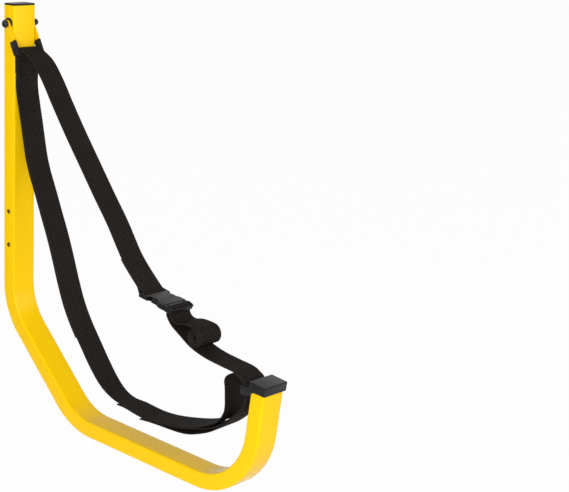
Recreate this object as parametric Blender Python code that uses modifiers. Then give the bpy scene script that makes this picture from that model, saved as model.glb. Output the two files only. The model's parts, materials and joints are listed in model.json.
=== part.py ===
# Kayak wall hook: a bent box-tube arm with a swinging hanger at its top, a webbing sling that
# cradles the hull, and a safety strap with a side-release buckle. Metres, +Z up.
# The wall is the plane Y = 0 and the arm reaches towards -Y. Z = 0 lies midway between the two
# cross holes that fasten the tube. Side views are drawn in (out, up): out is the distance from
# the wall, so that out = -Y and up = Z.

import math

import bmesh
import bpy
import numpy as np
from mathutils import Matrix, Vector

# Clearances
TOUCH = 0.0003          # between pieces that touch
RUN = 0.0005            # between pieces that slide
REACH = 0.010           # how far a cutter runs past the face that it opens

# Box tube, and its centre line from the top down
TUBE_WIDTH = 0.050
TUBE_DEPTH = 0.030
TUBE_WALL = 0.002
TUBE_CORNER = 0.0035
TUBE_TOP = 0.4135       # height of the open top end
FIRST_CORNER = -0.155   # height at which the lines of the upright and the knee cross
KNEE_LENGTH = 0.2564
ARM_LENGTH = 0.4251
TIP_LENGTH = 0.2063
KNEE_TURN = math.radians(45)
ARM_TURN = math.radians(42)
TIP_TURN = math.radians(86)
BEND_RADIUS = 0.120
BEND_STEP = math.radians(5)
HOLE_SPACING = 0.0635
HOLE_RADIUS = 0.00425

# Plug in the tube's top end
PLUG_FLANGE = 0.003
PLUG_DEPTH = 0.014
PLUG_WALL = 0.0022

# Hanger: two ears on a pivot bolt, which carry the strap bar between them
PIVOT_BELOW_TOP = 0.0329
PIVOT_BEHIND = 0.015    # the tube's front face
HANGER_TILT = math.radians(27)
BOLT_RADIUS = 0.003
BOLT_HEAD_RADIUS = 0.0074
BOLT_HEAD_HEIGHT = 0.0087
NUT_RADIUS = 0.0062
NUT_HEIGHT = 0.0125
NUT_ROOF = 0.0035
BUSH_WALL = 0.0012
BUSH_FLANGE_RADIUS = 0.0105
BUSH_FLANGE = 0.0016
BUSH_SLEEVE = 0.005
EAR_WIDTH = 0.013
EAR_THICKNESS = 0.0022
EAR_TANG = 0.0105       # width of the ear's lower end, inside its cap
CAP_START = 0.0338      # along the ear from the pivot
CAP_END = 0.0602
CAP_OVER = 0.0009       # how far the cap stands past the ear's edges
CAP_WALL = 0.0010
BAR_ALONG = 0.0542
BAR_RADIUS = 0.003

# Webbing
WEB_WIDTH = 0.050
WEB_THICKNESS = 0.002
WEB_PITCH = WEB_THICKNESS + TOUCH
WEB_SIDE = 0.0006       # between the webbing's edge and a slot's end
WEB_STEP = 0.011        # between the points of a free stretch
STRAP_TURN_STEPS = 10   # segments in half a turn round a bar
SAFETY_HEM = 0.040      # length of the safety strap's end, sewn behind the sling's loop
BUCKLE_HEM = 0.055      # length of the safety strap's end, sewn under itself at the buckle
END_DROOP = 0.003       # how far a loose end hangs from the layer above it
END_DROOP_LENGTH = 0.028
CRADLE_LEANS = (        # height of the cradle's -X edge above its middle, place along the span, reach
    (0.0035, 0.443, 0.040),
    (-0.0021, 0.776, 0.055),
)
SAFETY_SLACK = 0.0068   # how far the safety strap's lower end hangs below the sling
SAFETY_SLACK_AT = 0.785
SAFETY_SLACK_REACH = 0.062

# Tip cap, in the tip's own frame: across the tube's depth, and along the tube from its end
TIP_COVER = 0.014       # length of tube inside the cap
TIP_CAP_WALL = 0.0022
TIP_PLATE = 0.0060
TIP_PLATE_LIP = 0.0004
TIP_SLOT = 0.014
TIP_BAR = 0.004
TIP_BAR_DROP = 0.0067   # from the tube's end to the bar's top
TIP_BAR_HEIGHT = 0.014
TIP_SCOOP = 0.004       # how far the skirt's lower edge rises between its corners

# Buckle, in its own frame: along from the webbing bar to the lock, across, and up
BUCKLE_TILT = math.radians(-11)
BUCKLE_THICKNESS = 0.0115
BUCKLE_CHEEK = 0.0034   # beside the webbing's slot
BUCKLE_HALF = WEB_WIDTH / 2 + WEB_SIDE + BUCKLE_CHEEK
BUCKLE_WAIST = BUCKLE_HALF - 0.0035
BUCKLE_MOUTH_HALF = BUCKLE_HALF - 0.0005
BUCKLE_BODY_START = 0.0112
BUCKLE_MOUTH = 0.057
BUCKLE_FLOOR = 0.0155   # where the cavity begins
BUCKLE_CAVITY = 0.0080
BUCKLE_WINDOW = (0.0165, 0.0400)    # the open sides, where the latch arms are pressed
BUCKLE_WINDOW_DEPTH = 0.0080
BUCKLE_WINDOW_ROUND = 0.0050
BUCKLE_RAIL = 0.0075
BUCKLE_BAR_RADIUS = 0.003
LOCK_LENGTH = 0.0180
LOCK_BAR_RADIUS = 0.0025
LOCK_THICKNESS = 0.010
TONGUE_HALF = 0.007
TONGUE_THICKNESS = 0.005
TONGUE_LENGTH = 0.033
PRONG_THICKNESS = 0.0066
PRONG_REACH = 0.037     # from the prong's root to its end
PRONG_ROOT = BUCKLE_MOUTH_HALF - 0.0095     # across, from the middle
PRONG_HALF = 0.0016

# Rolled tail of the safety strap
ROLL_TURNS = 5
ROLL_POINTS = 24        # in one turn
ROLL_CORE = 0.0043
ROLL_START = 80         # where the tail lands on the roll, in degrees from straight out
ROLL_PITCH = WEB_THICKNESS + 0.0005

YELLOW = ("powder_coat_yellow", (0.96, 0.60, 0.01), 0.32, 0.0)
STEEL = ("zinc_plated_steel", (0.55, 0.55, 0.56), 0.35, 0.9)
BLACK_STEEL = ("blackened_steel", (0.02, 0.02, 0.02), 0.4, 0.6)
PLASTIC = ("black_plastic", (0.028, 0.026, 0.028), 0.42, 0.0)
NYLON = ("black_nylon", (0.018, 0.018, 0.018), 0.5, 0.0)
WEBBING = ("black_webbing", (0.014, 0.013, 0.012), 0.85, 0.0)


# Places that several pieces share, in (out, up)
def toward(angle):
    """A direction in the side view: 0 is straight down and a quarter turn is straight out."""
    return np.array([math.sin(angle), -math.cos(angle)])


def square_to(direction):
    return np.array([-direction[1], direction[0]])


TIP_ANGLE = KNEE_TURN + ARM_TURN + TIP_TURN
TUBE_CORNERS = [np.array([TUBE_DEPTH / 2, TUBE_TOP]), np.array([TUBE_DEPTH / 2, FIRST_CORNER])]
for length, angle in (
    (KNEE_LENGTH, KNEE_TURN),
    (ARM_LENGTH, KNEE_TURN + ARM_TURN),
    (TIP_LENGTH, TIP_ANGLE),
):
    TUBE_CORNERS.append(TUBE_CORNERS[-1] + length * toward(angle))
TIP_END = TUBE_CORNERS[-1]
TIP_OUT = -square_to(toward(TIP_ANGLE))


def at_tip(across, along):
    """A point in the tip's frame: across is away from the wall, along is past the tube's end."""
    return TIP_END + across * TIP_OUT + along * toward(TIP_ANGLE)


PIVOT = np.array([TUBE_DEPTH - PIVOT_BEHIND, TUBE_TOP - PIVOT_BELOW_TOP])
BAR = PIVOT + BAR_ALONG * toward(HANGER_TILT)
TIP_SLOT_FAR = -TUBE_DEPTH / 2 - TOUCH - TIP_CAP_WALL
SLOT = at_tip(TIP_SLOT_FAR - TIP_SLOT / 2, -TIP_COVER)


def in_span(along, height):
    """A point given as shares of the span from the strap bar (0, 1) to the cap's slot (1, 0)."""
    return np.array([
        BAR[0] + along * (SLOT[0] - BAR[0]),
        SLOT[1] + height * (BAR[1] - SLOT[1]),
    ])


BUCKLE_BAR = in_span(0.5695, 0.2236)
BUCKLE_ALONG = np.array([math.cos(BUCKLE_TILT), math.sin(BUCKLE_TILT)])


def at_buckle(along, above):
    return BUCKLE_BAR + along * BUCKLE_ALONG + above * square_to(BUCKLE_ALONG)


LOCK_START = BUCKLE_MOUTH + RUN
LOCK_SLOT = WEB_THICKNESS + 2 * RUN
LOCK_BAR_ALONG = LOCK_START + 0.005 + LOCK_SLOT + LOCK_BAR_RADIUS
LOCK_BAR_ABOVE = 0.003
LOCK_END = LOCK_START + LOCK_LENGTH
PRONG_ROOT_ALONG = LOCK_START + 0.0025
PRONG_OUTER = BUCKLE_MOUTH_HALF - 0.0022 - TOUCH


# Paths in the side view, as arrays of (out, up)
def bent_path(corners, radius, step):
    """Straight runs between the corners, each corner rounded by an arc."""
    points = [corners[0]]
    for before, corner, after in zip(corners, corners[1:], corners[2:]):
        arriving = (corner - before) / np.linalg.norm(corner - before)
        leaving = (after - corner) / np.linalg.norm(after - corner)
        turn = math.acos(float(arriving @ leaving))
        side = square_to(arriving) * np.sign(square_to(arriving) @ leaving)
        start = corner - arriving * radius * math.tan(turn / 2)
        steps = max(2, round(turn / step))
        for k in range(steps + 1):
            angle = turn * k / steps
            points.append(start + radius * (math.sin(angle) * arriving + (1 - math.cos(angle)) * side))
    points.append(corners[-1])
    return np.array(points)


def turn_path(centre, radius, start, end, steps):
    """An arc, its angles in degrees from straight out towards up."""
    angles = np.radians(np.linspace(start, end, steps + 1))
    return np.array(centre) + radius * np.column_stack([np.cos(angles), np.sin(angles)])


def even_path(points, step):
    """The same path with its points about a step apart."""
    points = np.array(points)
    lengths = np.r_[0, np.cumsum(np.linalg.norm(np.diff(points, axis=0), axis=1))]
    marks = np.linspace(0, lengths[-1], max(2, round(lengths[-1] / step)) + 1)
    return np.column_stack([np.interp(marks, lengths, points[:, k]) for k in (0, 1)])


def smooth_path(knots, step=WEB_STEP, start=None, end=None):
    """A smooth curve through hand-chosen knots, which can leave and arrive in given directions."""
    knots = np.array(knots)
    gaps = np.linalg.norm(np.diff(knots, axis=0), axis=1)
    slopes = np.empty_like(knots)
    slopes[1:-1] = [
        ((b - a) / g * h + (c - b) / h * g) / (g + h)
        for a, b, c, g, h in zip(knots, knots[1:], knots[2:], gaps, gaps[1:])
    ]
    slopes[0] = start if start is not None else 1.5 * (knots[1] - knots[0]) / gaps[0] - slopes[1] / 2
    slopes[-1] = end if end is not None else 1.5 * (knots[-1] - knots[-2]) / gaps[-1] - slopes[-2] / 2
    points = []
    for a, b, p, q, gap in zip(knots, knots[1:], slopes, slopes[1:], gaps):
        for t in np.linspace(0, 1, 24, endpoint=False):
            points.append(
                (2 * t**3 - 3 * t**2 + 1) * a + (t**3 - 2 * t**2 + t) * gap * p
                + (3 * t**2 - 2 * t**3) * b + (t**3 - t**2) * gap * q
            )
    return even_path(points + [knots[-1]], step)


def directions(path):
    steps = np.diff(path, axis=0)
    steps /= np.linalg.norm(steps, axis=1)[:, None]
    along = np.vstack([steps[:1], steps[:-1] + steps[1:], steps[-1:]])
    return along / np.linalg.norm(along, axis=1)[:, None]


def beside(path, distance):
    """The path moved sideways, to its left where the distance is positive."""
    along = directions(path)
    return path + np.reshape(distance, (-1, 1)) * np.column_stack([-along[:, 1], along[:, 0]])


def drooping(path):
    """The path with its last stretch bent to its left, as a loose end hangs."""
    lengths = np.r_[0, np.cumsum(np.linalg.norm(np.diff(path, axis=0), axis=1))]
    share = np.clip(1 - (lengths[-1] - lengths) / END_DROOP_LENGTH, 0, 1)
    return beside(path, END_DROOP * share ** 2)


def joined(*paths):
    """Paths end to end, without the points that would fall on each other."""
    points = [paths[0][0]]
    for point in np.vstack(paths):
        if np.linalg.norm(point - points[-1]) > WEB_THICKNESS / 8:
            points.append(point)
    return np.array(points)


def trimmed(path, start=0.0, end=0.0):
    """The path with a length taken off its start and its end."""
    lengths = np.r_[0, np.cumsum(np.linalg.norm(np.diff(path, axis=0), axis=1))]
    marks = lengths[(lengths > start + TOUCH) & (lengths < lengths[-1] - end - TOUCH)]
    marks = np.r_[start, marks, lengths[-1] - end]
    return np.column_stack([np.interp(marks, lengths, path[:, k]) for k in (0, 1)])


def tangent_angle(centre, radius, point, side):
    """The angle on a circle, in degrees, at which a line from the point touches it."""
    away = np.array(point) - centre
    return math.degrees(math.atan2(away[1], away[0]) + side * math.acos(radius / np.linalg.norm(away)))


# Objects
def emptied_scene():
    for thing in list(bpy.data.objects):
        bpy.data.objects.remove(thing, do_unlink=True)
    made = []
    for name in ("kayak_wall_hook", "cutters"):
        collection = bpy.data.collections.new(name)
        bpy.context.scene.collection.children.link(collection)
        made.append(collection)
    return made


PARTS, CUTTERS = emptied_scene()


def finish_of(look):
    name, colour, roughness, metallic = look
    material = bpy.data.materials.get(name)
    if material is None:
        material = bpy.data.materials.new(name)
        material.use_nodes = True
        shader = material.node_tree.nodes["Principled BSDF"]
        shader.inputs["Base Color"].default_value = (*colour, 1)
        shader.inputs["Roughness"].default_value = roughness
        shader.inputs["Metallic"].default_value = metallic
    return material


def side_frame(origin, along):
    """Local x lies along a direction of the side view, local y to its left, and local z along -X."""
    left = square_to(along)
    frame = Matrix.Identity(4)
    frame.col[0] = (0, -along[0], along[1], 0)
    frame.col[1] = (0, -left[0], left[1], 0)
    frame.col[2] = (-1, 0, 0, 0)
    frame.col[3] = (0, -origin[0], origin[1], 1)
    return frame


def empty_at(name, frame, parent=None):
    empty = bpy.data.objects.new(name, None)
    empty.empty_display_size = 0.02
    empty.parent = parent
    empty.matrix_local = frame
    PARTS.objects.link(empty)
    return empty


def add_piece(name, mesh, look, parent=None):
    piece = bpy.data.objects.new(name, mesh)
    piece.parent = parent
    PARTS.objects.link(piece)
    mesh.materials.append(finish_of(look))
    return piece


def as_cutter(piece):
    piece.hide_render = True
    piece.display_type = "WIRE"
    PARTS.objects.unlink(piece)
    CUTTERS.objects.link(piece)
    return piece


def combine(piece, operation, other):
    change = piece.modifiers.new(f"{operation.lower()}_{other.name}", "BOOLEAN")
    change.operation = operation
    change.solver = "EXACT"
    change.object = as_cutter(other)


def bevel(piece, width, segments=2, angle=math.radians(40)):
    change = piece.modifiers.new("rounded_edges", "BEVEL")
    change.width = width
    change.segments = segments
    change.limit_method = "ANGLE"
    change.angle_limit = angle
    change.harden_normals = False


def curve_to_mesh(curve_object, name):
    """Makes a mesh of a curve, with its caps welded, and removes the curve."""
    bpy.context.view_layer.update()
    graph = bpy.context.evaluated_depsgraph_get()
    mesh = bpy.data.meshes.new_from_object(curve_object.evaluated_get(graph))
    mesh.name = name
    weld = bmesh.new()
    weld.from_mesh(mesh)
    bmesh.ops.remove_doubles(weld, verts=weld.verts, dist=0.00001)
    bmesh.ops.recalc_face_normals(weld, faces=weld.faces)
    weld.to_mesh(mesh)
    weld.free()
    mesh.materials.clear()
    bpy.data.objects.remove(curve_object, do_unlink=True)
    return mesh


def flat_curve(name, outlines):
    curve = bpy.data.curves.new(name, "CURVE")
    curve.dimensions = "2D"
    for outline in outlines:
        spline = curve.splines.new("POLY")
        spline.points.add(len(outline) - 1)
        for point, place in zip(spline.points, outline):
            point.co = (place[0], place[1], 0, 1)
        spline.use_cyclic_u = True
    holder = bpy.data.objects.new(name, curve)
    PARTS.objects.link(holder)
    return holder


def slab(name, outlines, low, high, look, parent=None):
    """A flat outline, with any holes, made solid between two heights of its local z."""
    holder = flat_curve(name, outlines)
    holder.data.fill_mode = "BOTH"
    holder.data.extrude = (high - low) / 2
    mesh = curve_to_mesh(holder, name)
    mesh.transform(Matrix.Translation((0, 0, (high + low) / 2)))
    return add_piece(name, mesh, look, parent)


def block(name, low, high, look, parent=None):
    """A box between two opposite corners."""
    low, high = Vector(low), Vector(high)
    shape = bmesh.new()
    bmesh.ops.create_cube(shape, size=1)
    bmesh.ops.scale(shape, vec=high - low, verts=shape.verts)
    bmesh.ops.translate(shape, vec=(high + low) / 2, verts=shape.verts)
    mesh = bpy.data.meshes.new(name)
    shape.to_mesh(mesh)
    shape.free()
    return add_piece(name, mesh, look, parent)


def rod(name, radius, low, high, look, parent=None, place=(0, 0), sides=24):
    """A cylinder along local z."""
    shape = bmesh.new()
    bmesh.ops.create_cone(
        shape, cap_ends=True, segments=sides, radius1=radius, radius2=radius, depth=high - low
    )
    bmesh.ops.translate(shape, vec=(*place, (low + high) / 2), verts=shape.verts)
    mesh = bpy.data.meshes.new(name)
    shape.to_mesh(mesh)
    shape.free()
    return add_piece(name, mesh, look, parent)


def turned(name, profile, look, parent=None, closed=False, steps=24):
    """A profile of (radius, height), from the top down its outer side, turned about local z."""
    mesh = bpy.data.meshes.new(name)
    shape = bmesh.new()
    corners = [shape.verts.new((radius, 0, height)) for radius, height in profile]
    for a, b in zip(corners, corners[1:]):
        shape.edges.new((a, b))
    if closed:
        shape.edges.new((corners[-1], corners[0]))
    shape.to_mesh(mesh)
    shape.free()
    piece = add_piece(name, mesh, look, parent)
    spin = piece.modifiers.new("turned", "SCREW")
    spin.axis = "Z"
    spin.steps = steps
    spin.render_steps = steps
    spin.use_merge_vertices = True
    spin.merge_threshold = 0.00001
    return piece


def cradle_lean(out, up):
    """How far the webbing's -X edge lies above its middle, and the other edge below it."""
    if up > FIRST_CORNER:
        return 0.0
    return sum(
        height * math.exp(-((out - in_span(place, 0)[0]) / reach) ** 2) for height, place, reach in CRADLE_LEANS
    )


def ribbon(name, path, parent=None):
    """A length of webbing whose middle follows a path of the side view."""
    half = WEB_WIDTH / 2
    shape = bmesh.new()
    rows = [
        [shape.verts.new((side * half, -out, up - side * cradle_lean(out, up))) for side in (-1, 1)]
        for out, up in path
    ]
    for (a, b), (c, d) in zip(rows, rows[1:]):
        shape.faces.new((a, b, d, c))
    mesh = bpy.data.meshes.new(name)
    shape.to_mesh(mesh)
    shape.free()
    piece = add_piece(name, mesh, WEBBING)
    if parent:
        bpy.context.view_layer.update()
        piece.parent = parent
        piece.matrix_parent_inverse = parent.matrix_world.inverted()
    thicken = piece.modifiers.new("thickness", "SOLIDIFY")
    thicken.thickness = WEB_THICKNESS
    thicken.offset = 0
    thicken.use_even_offset = True
    return piece


def rounded_box(width, depth, radius, steps=3, middle=(0, 0)):
    """The outline of a rectangle with round corners."""
    points = []
    for corner, (side, top) in enumerate(((1, 1), (-1, 1), (-1, -1), (1, -1))):
        centre = (middle[0] + side * (width / 2 - radius), middle[1] + top * (depth / 2 - radius))
        points.extend(turn_path(centre, radius, 90 * corner, 90 * corner + 90, steps))
    return points


# Tube and plug
def add_tube():
    path = bent_path(TUBE_CORNERS, BEND_RADIUS, BEND_STEP)
    section = flat_curve("tube_section", [rounded_box(TUBE_DEPTH, TUBE_WIDTH, TUBE_CORNER)])
    holder = flat_curve("hook_tube", [path])
    holder.data.splines[0].use_cyclic_u = False
    holder.data.bevel_mode = "OBJECT"
    holder.data.bevel_object = section
    mesh = curve_to_mesh(holder, "hook_tube")
    bpy.data.objects.remove(section, do_unlink=True)
    tube = add_piece("hook_tube", mesh, YELLOW)
    tube.matrix_local = side_frame((0, 0), np.array([1, 0]))
    wall = tube.modifiers.new("wall", "SOLIDIFY")
    wall.thickness = TUBE_WALL
    wall.offset = -1
    wall.use_even_offset = True
    holes = [
        ("lower_hole", HOLE_RADIUS, (TUBE_DEPTH / 2, -HOLE_SPACING / 2)),
        ("upper_hole", HOLE_RADIUS, (TUBE_DEPTH / 2, HOLE_SPACING / 2)),
        ("pivot_hole", BOLT_RADIUS + 2 * TOUCH + BUSH_WALL, PIVOT),
    ]
    for name, radius, place in holes:
        drill = rod(name, radius, -TUBE_WIDTH / 2 - REACH, TUBE_WIDTH / 2 + REACH, YELLOW, place=place)
        drill.matrix_local = side_frame((0, 0), np.array([1, 0]))
        combine(tube, "DIFFERENCE", drill)


def add_plug():
    top = empty_at("tube_top", Matrix.Translation((0, -TUBE_DEPTH / 2, TUBE_TOP)))
    flange = [rounded_box(TUBE_WIDTH, TUBE_DEPTH, TUBE_CORNER)]
    plug = slab("top_plug", flange, TOUCH, TOUCH + PLUG_FLANGE, PLASTIC, top)
    inner = 2 * (TUBE_WALL + TOUCH)
    radius = max(TUBE_CORNER - TUBE_WALL, 0.001)
    spigot = [rounded_box(TUBE_WIDTH - inner, TUBE_DEPTH - inner, radius)]
    combine(plug, "UNION", slab("plug_spigot", spigot, -PLUG_DEPTH, PLUG_FLANGE, PLASTIC, top))
    hollow = 2 * (TUBE_WALL + TOUCH + PLUG_WALL)
    pocket = [rounded_box(TUBE_WIDTH - hollow, TUBE_DEPTH - hollow, radius)]
    combine(plug, "DIFFERENCE", slab("plug_pocket", pocket, -PLUG_DEPTH - REACH, 0, PLASTIC, top))


# Hanger: its frame lies on the pivot with local x along the ears and local z along -X
EAR_INNER = max(TUBE_WIDTH / 2 + BUSH_FLANGE, WEB_WIDTH / 2 + CAP_WALL) + 2 * TOUCH
EAR_OUTER = EAR_INNER + EAR_THICKNESS


def add_pivot(pivot):
    """The bolt, its cap nut and the two flanged bushes. Local z points to -X, so the head is left."""
    base = EAR_OUTER + TOUCH
    bulge = BOLT_HEAD_HEIGHT / 2
    knob = [
        (BOLT_HEAD_RADIUS * math.sin(angle), base + bulge * (1 + math.cos(angle)))
        for angle in np.radians(np.linspace(0, 135, 9))
    ]
    shank_end = NUT_ROOF - base - NUT_HEIGHT
    shank = [(knob[-1][0], base), (BOLT_RADIUS, base), (BOLT_RADIUS, shank_end), (0, shank_end)]
    turned("pivot_bolt", [*knob, *shank], BLACK_STEEL, pivot)
    nut_dome = [
        (NUT_RADIUS * math.sin(angle), -base - NUT_HEIGHT + NUT_RADIUS * (1 - math.cos(angle)))
        for angle in np.radians(np.linspace(90, 0, 7))
    ]
    bore = BOLT_RADIUS + TOUCH
    inside = [(0, shank_end - TOUCH), (bore, shank_end - TOUCH), (bore, -base), (NUT_RADIUS, -base)]
    turned("pivot_nut", [*inside, *nut_dome], BLACK_STEEL, pivot)
    for side, sign in (("left", 1), ("right", -1)):
        flange = EAR_INNER - TOUCH
        face = TUBE_WIDTH / 2 + TOUCH
        inner_end = TUBE_WIDTH / 2 - BUSH_SLEEVE
        sleeve = bore + BUSH_WALL
        profile = [
            (bore, flange), (BUSH_FLANGE_RADIUS, flange), (BUSH_FLANGE_RADIUS, face),
            (sleeve, face), (sleeve, inner_end), (bore, inner_end),
        ]
        if sign < 0:
            profile = [(radius, -height) for radius, height in reversed(profile)]
        turned(f"pivot_bush_{side}", profile, NYLON, pivot, closed=True)


def add_hanger():
    hanger = empty_at("hanger_pivot", side_frame(PIVOT, toward(HANGER_TILT)))
    add_pivot(hanger)
    half, tang = EAR_WIDTH / 2, EAR_TANG / 2
    ear_end = CAP_END - CAP_WALL - TOUCH
    outline = [
        *turn_path((0, 0), half, 90, 270, 12),
        (CAP_START - RUN, -half), (CAP_START - RUN, -tang), (ear_end, -tang),
        (ear_end, tang), (CAP_START - RUN, tang), (CAP_START - RUN, half),
    ]
    bolt_hole = turn_path((0, 0), BOLT_RADIUS + TOUCH, 0, 345, 23)
    bar_hole = turn_path((BAR_ALONG, 0), BAR_RADIUS + TOUCH, 0, 345, 23)
    cap_inner = EAR_INNER - TOUCH - CAP_WALL
    for side, sign in (("left", 1), ("right", -1)):
        low, high = sorted((sign * EAR_INNER, sign * EAR_OUTER))
        ear = slab(f"hanger_ear_{side}", [outline, bolt_hole, bar_hole], low, high, YELLOW, hanger)
        bevel(ear, 0.0004, 1)
        cap_low, cap_high = sorted((sign * cap_inner, sign * (EAR_OUTER + TOUCH + CAP_WALL)))
        box = [rounded_box(
            CAP_END - CAP_START, EAR_WIDTH + 2 * CAP_OVER, 0.003, 4, ((CAP_START + CAP_END) / 2, 0)
        )]
        cap = slab(f"hanger_cap_{side}", box, cap_low, cap_high, PLASTIC, hanger)
        bevel(cap, 0.0008)
        low, high = low - TOUCH, high + TOUCH
        pocket = block(
            f"cap_pocket_{side}", (CAP_START - REACH, -tang - TOUCH, low),
            (ear_end + TOUCH, tang + TOUCH, high), PLASTIC, hanger,
        )
        combine(cap, "DIFFERENCE", pocket)
        reach = sorted((sign * (cap_inner - REACH), sign * (EAR_INNER + EAR_THICKNESS / 2)))
        bore = rod(
            f"cap_bore_{side}", BAR_RADIUS + TOUCH, *reach, PLASTIC, hanger, place=(BAR_ALONG, 0)
        )
        combine(cap, "DIFFERENCE", bore)
    rod(
        "hanger_strap_bar", BAR_RADIUS, -EAR_OUTER, EAR_OUTER, STEEL, hanger, place=(BAR_ALONG, 0)
    )


# Tip cap: a plastic pocket over the tube's end, with a webbing slot on its wall side
def add_tip_cap():
    tip = empty_at("tip_end", side_frame(TIP_END, TIP_OUT))
    # local x is away from the wall, local y is along the tube and upwards, local z is -X
    web_half = WEB_WIDTH / 2 + WEB_SIDE
    tube_half = TUBE_WIDTH / 2 + TOUCH
    half = max(web_half, tube_half) + TIP_CAP_WALL
    depth = TUBE_DEPTH / 2 + TOUCH
    rear, front = -depth - TIP_CAP_WALL, depth + TIP_CAP_WALL
    roof = TOUCH + TIP_PLATE
    slot_start = rear - TIP_SLOT
    frame_start = slot_start - TIP_BAR
    top = -TIP_BAR_DROP
    outline = [
        (frame_start, top - TIP_BAR_HEIGHT), (frame_start, top - 0.002), (frame_start + 0.002, top),
        (rear, top), (rear - TIP_PLATE_LIP, roof), (front + TIP_PLATE_LIP, roof),
        (front, TOUCH), (front, 0.004 - TIP_COVER), (depth / 3, TIP_SCOOP - TIP_COVER),
        (-depth / 2, TIP_SCOOP - 0.001 - TIP_COVER), (rear, -0.006 - TIP_COVER),
        (slot_start, top - TIP_BAR_HEIGHT - 0.002),
    ]
    cap = slab("tip_cap", [outline], -half, half, PLASTIC, tip)
    bevel(cap, 0.0009)
    pocket = block(
        "tip_pocket", (-depth, -TIP_COVER - 2 * REACH, -tube_half), (depth, TOUCH, tube_half),
        PLASTIC, tip,
    )
    combine(cap, "DIFFERENCE", pocket)
    slot = block(
        "webbing_slot", (slot_start, -TIP_COVER - 3 * REACH, -web_half), (rear, REACH, web_half),
        PLASTIC, tip,
    )
    combine(cap, "DIFFERENCE", slot)


# Buckle: local x runs from the webbing bar to the lock, local y is +X, local z is up
def buckle_frame():
    up = square_to(BUCKLE_ALONG)
    frame = Matrix.Identity(4)
    frame.col[0] = (0, -BUCKLE_ALONG[0], BUCKLE_ALONG[1], 0)
    frame.col[1] = (1, 0, 0, 0)
    frame.col[2] = (0, -up[0], up[1], 0)
    frame.col[3] = (0, -BUCKLE_BAR[0], BUCKLE_BAR[1], 1)
    return frame


def mirrored(half_outline):
    """An outline from its half at positive local y."""
    return [*half_outline, *[(x, -y) for x, y in reversed(half_outline)]]


def cross_rod(name, radius, along, above, half, look, parent):
    """A cylinder across the buckle."""
    bar = rod(name, radius, -half, half, look, parent)
    bar.data.transform(Matrix.Translation((along, 0, above)) @ Matrix.Rotation(math.pi / 2, 4, "X"))
    return bar


def add_buckle_female(buckle):
    half = BUCKLE_THICKNESS / 2
    body_middle = (BUCKLE_BODY_START + BUCKLE_MOUTH) / 2
    outline = mirrored([
        (BUCKLE_BODY_START, BUCKLE_HALF), (BUCKLE_BODY_START + 0.006, BUCKLE_HALF),
        (body_middle - 0.009, BUCKLE_WAIST + 0.001), (body_middle, BUCKLE_WAIST),
        (body_middle + 0.009, BUCKLE_WAIST + 0.001), (BUCKLE_MOUTH - 0.007, BUCKLE_MOUTH_HALF),
        (BUCKLE_MOUTH, BUCKLE_MOUTH_HALF),
    ])
    body = slab("buckle_female", [outline], -half, half, PLASTIC, buckle)
    bevel(body, 0.0018, 3)
    rail = BUCKLE_RAIL / 2
    frame = [rounded_box(
        BUCKLE_BODY_START + 0.003 + BUCKLE_BAR_RADIUS + 0.001, 2 * BUCKLE_HALF, 0.002, 3,
        ((BUCKLE_BODY_START + 0.003 - BUCKLE_BAR_RADIUS - 0.001) / 2, 0),
    )]
    rails = slab("buckle_rails", frame, -rail, rail, PLASTIC, buckle)
    bevel(rails, 0.001)
    combine(body, "UNION", rails)
    web_half = WEB_WIDTH / 2 + WEB_SIDE
    slot = block(
        "buckle_slot", (-REACH, -web_half, -REACH), (BUCKLE_BODY_START - TOUCH, web_half, REACH),
        PLASTIC, buckle,
    )
    combine(body, "DIFFERENCE", slot)
    bar = cross_rod("buckle_bar", BUCKLE_BAR_RADIUS, 0, 0, web_half + 0.002, PLASTIC, buckle)
    combine(body, "UNION", bar)
    inner = BUCKLE_MOUTH_HALF - 0.0022
    cavity = block(
        "buckle_cavity", (BUCKLE_FLOOR, -inner, -BUCKLE_CAVITY / 2),
        (BUCKLE_MOUTH + REACH, inner, BUCKLE_CAVITY / 2), PLASTIC, buckle,
    )
    combine(body, "DIFFERENCE", cavity)
    start, end = BUCKLE_WINDOW
    for side, sign in (("left", -1), ("right", 1)):
        window = [rounded_box(
            end - start, 2 * BUCKLE_WINDOW_DEPTH, BUCKLE_WINDOW_ROUND, 4, ((start + end) / 2, sign * BUCKLE_HALF)
        )]
        combine(body, "DIFFERENCE", slab(f"buckle_window_{side}", window, -REACH, REACH, PLASTIC, buckle))


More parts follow.
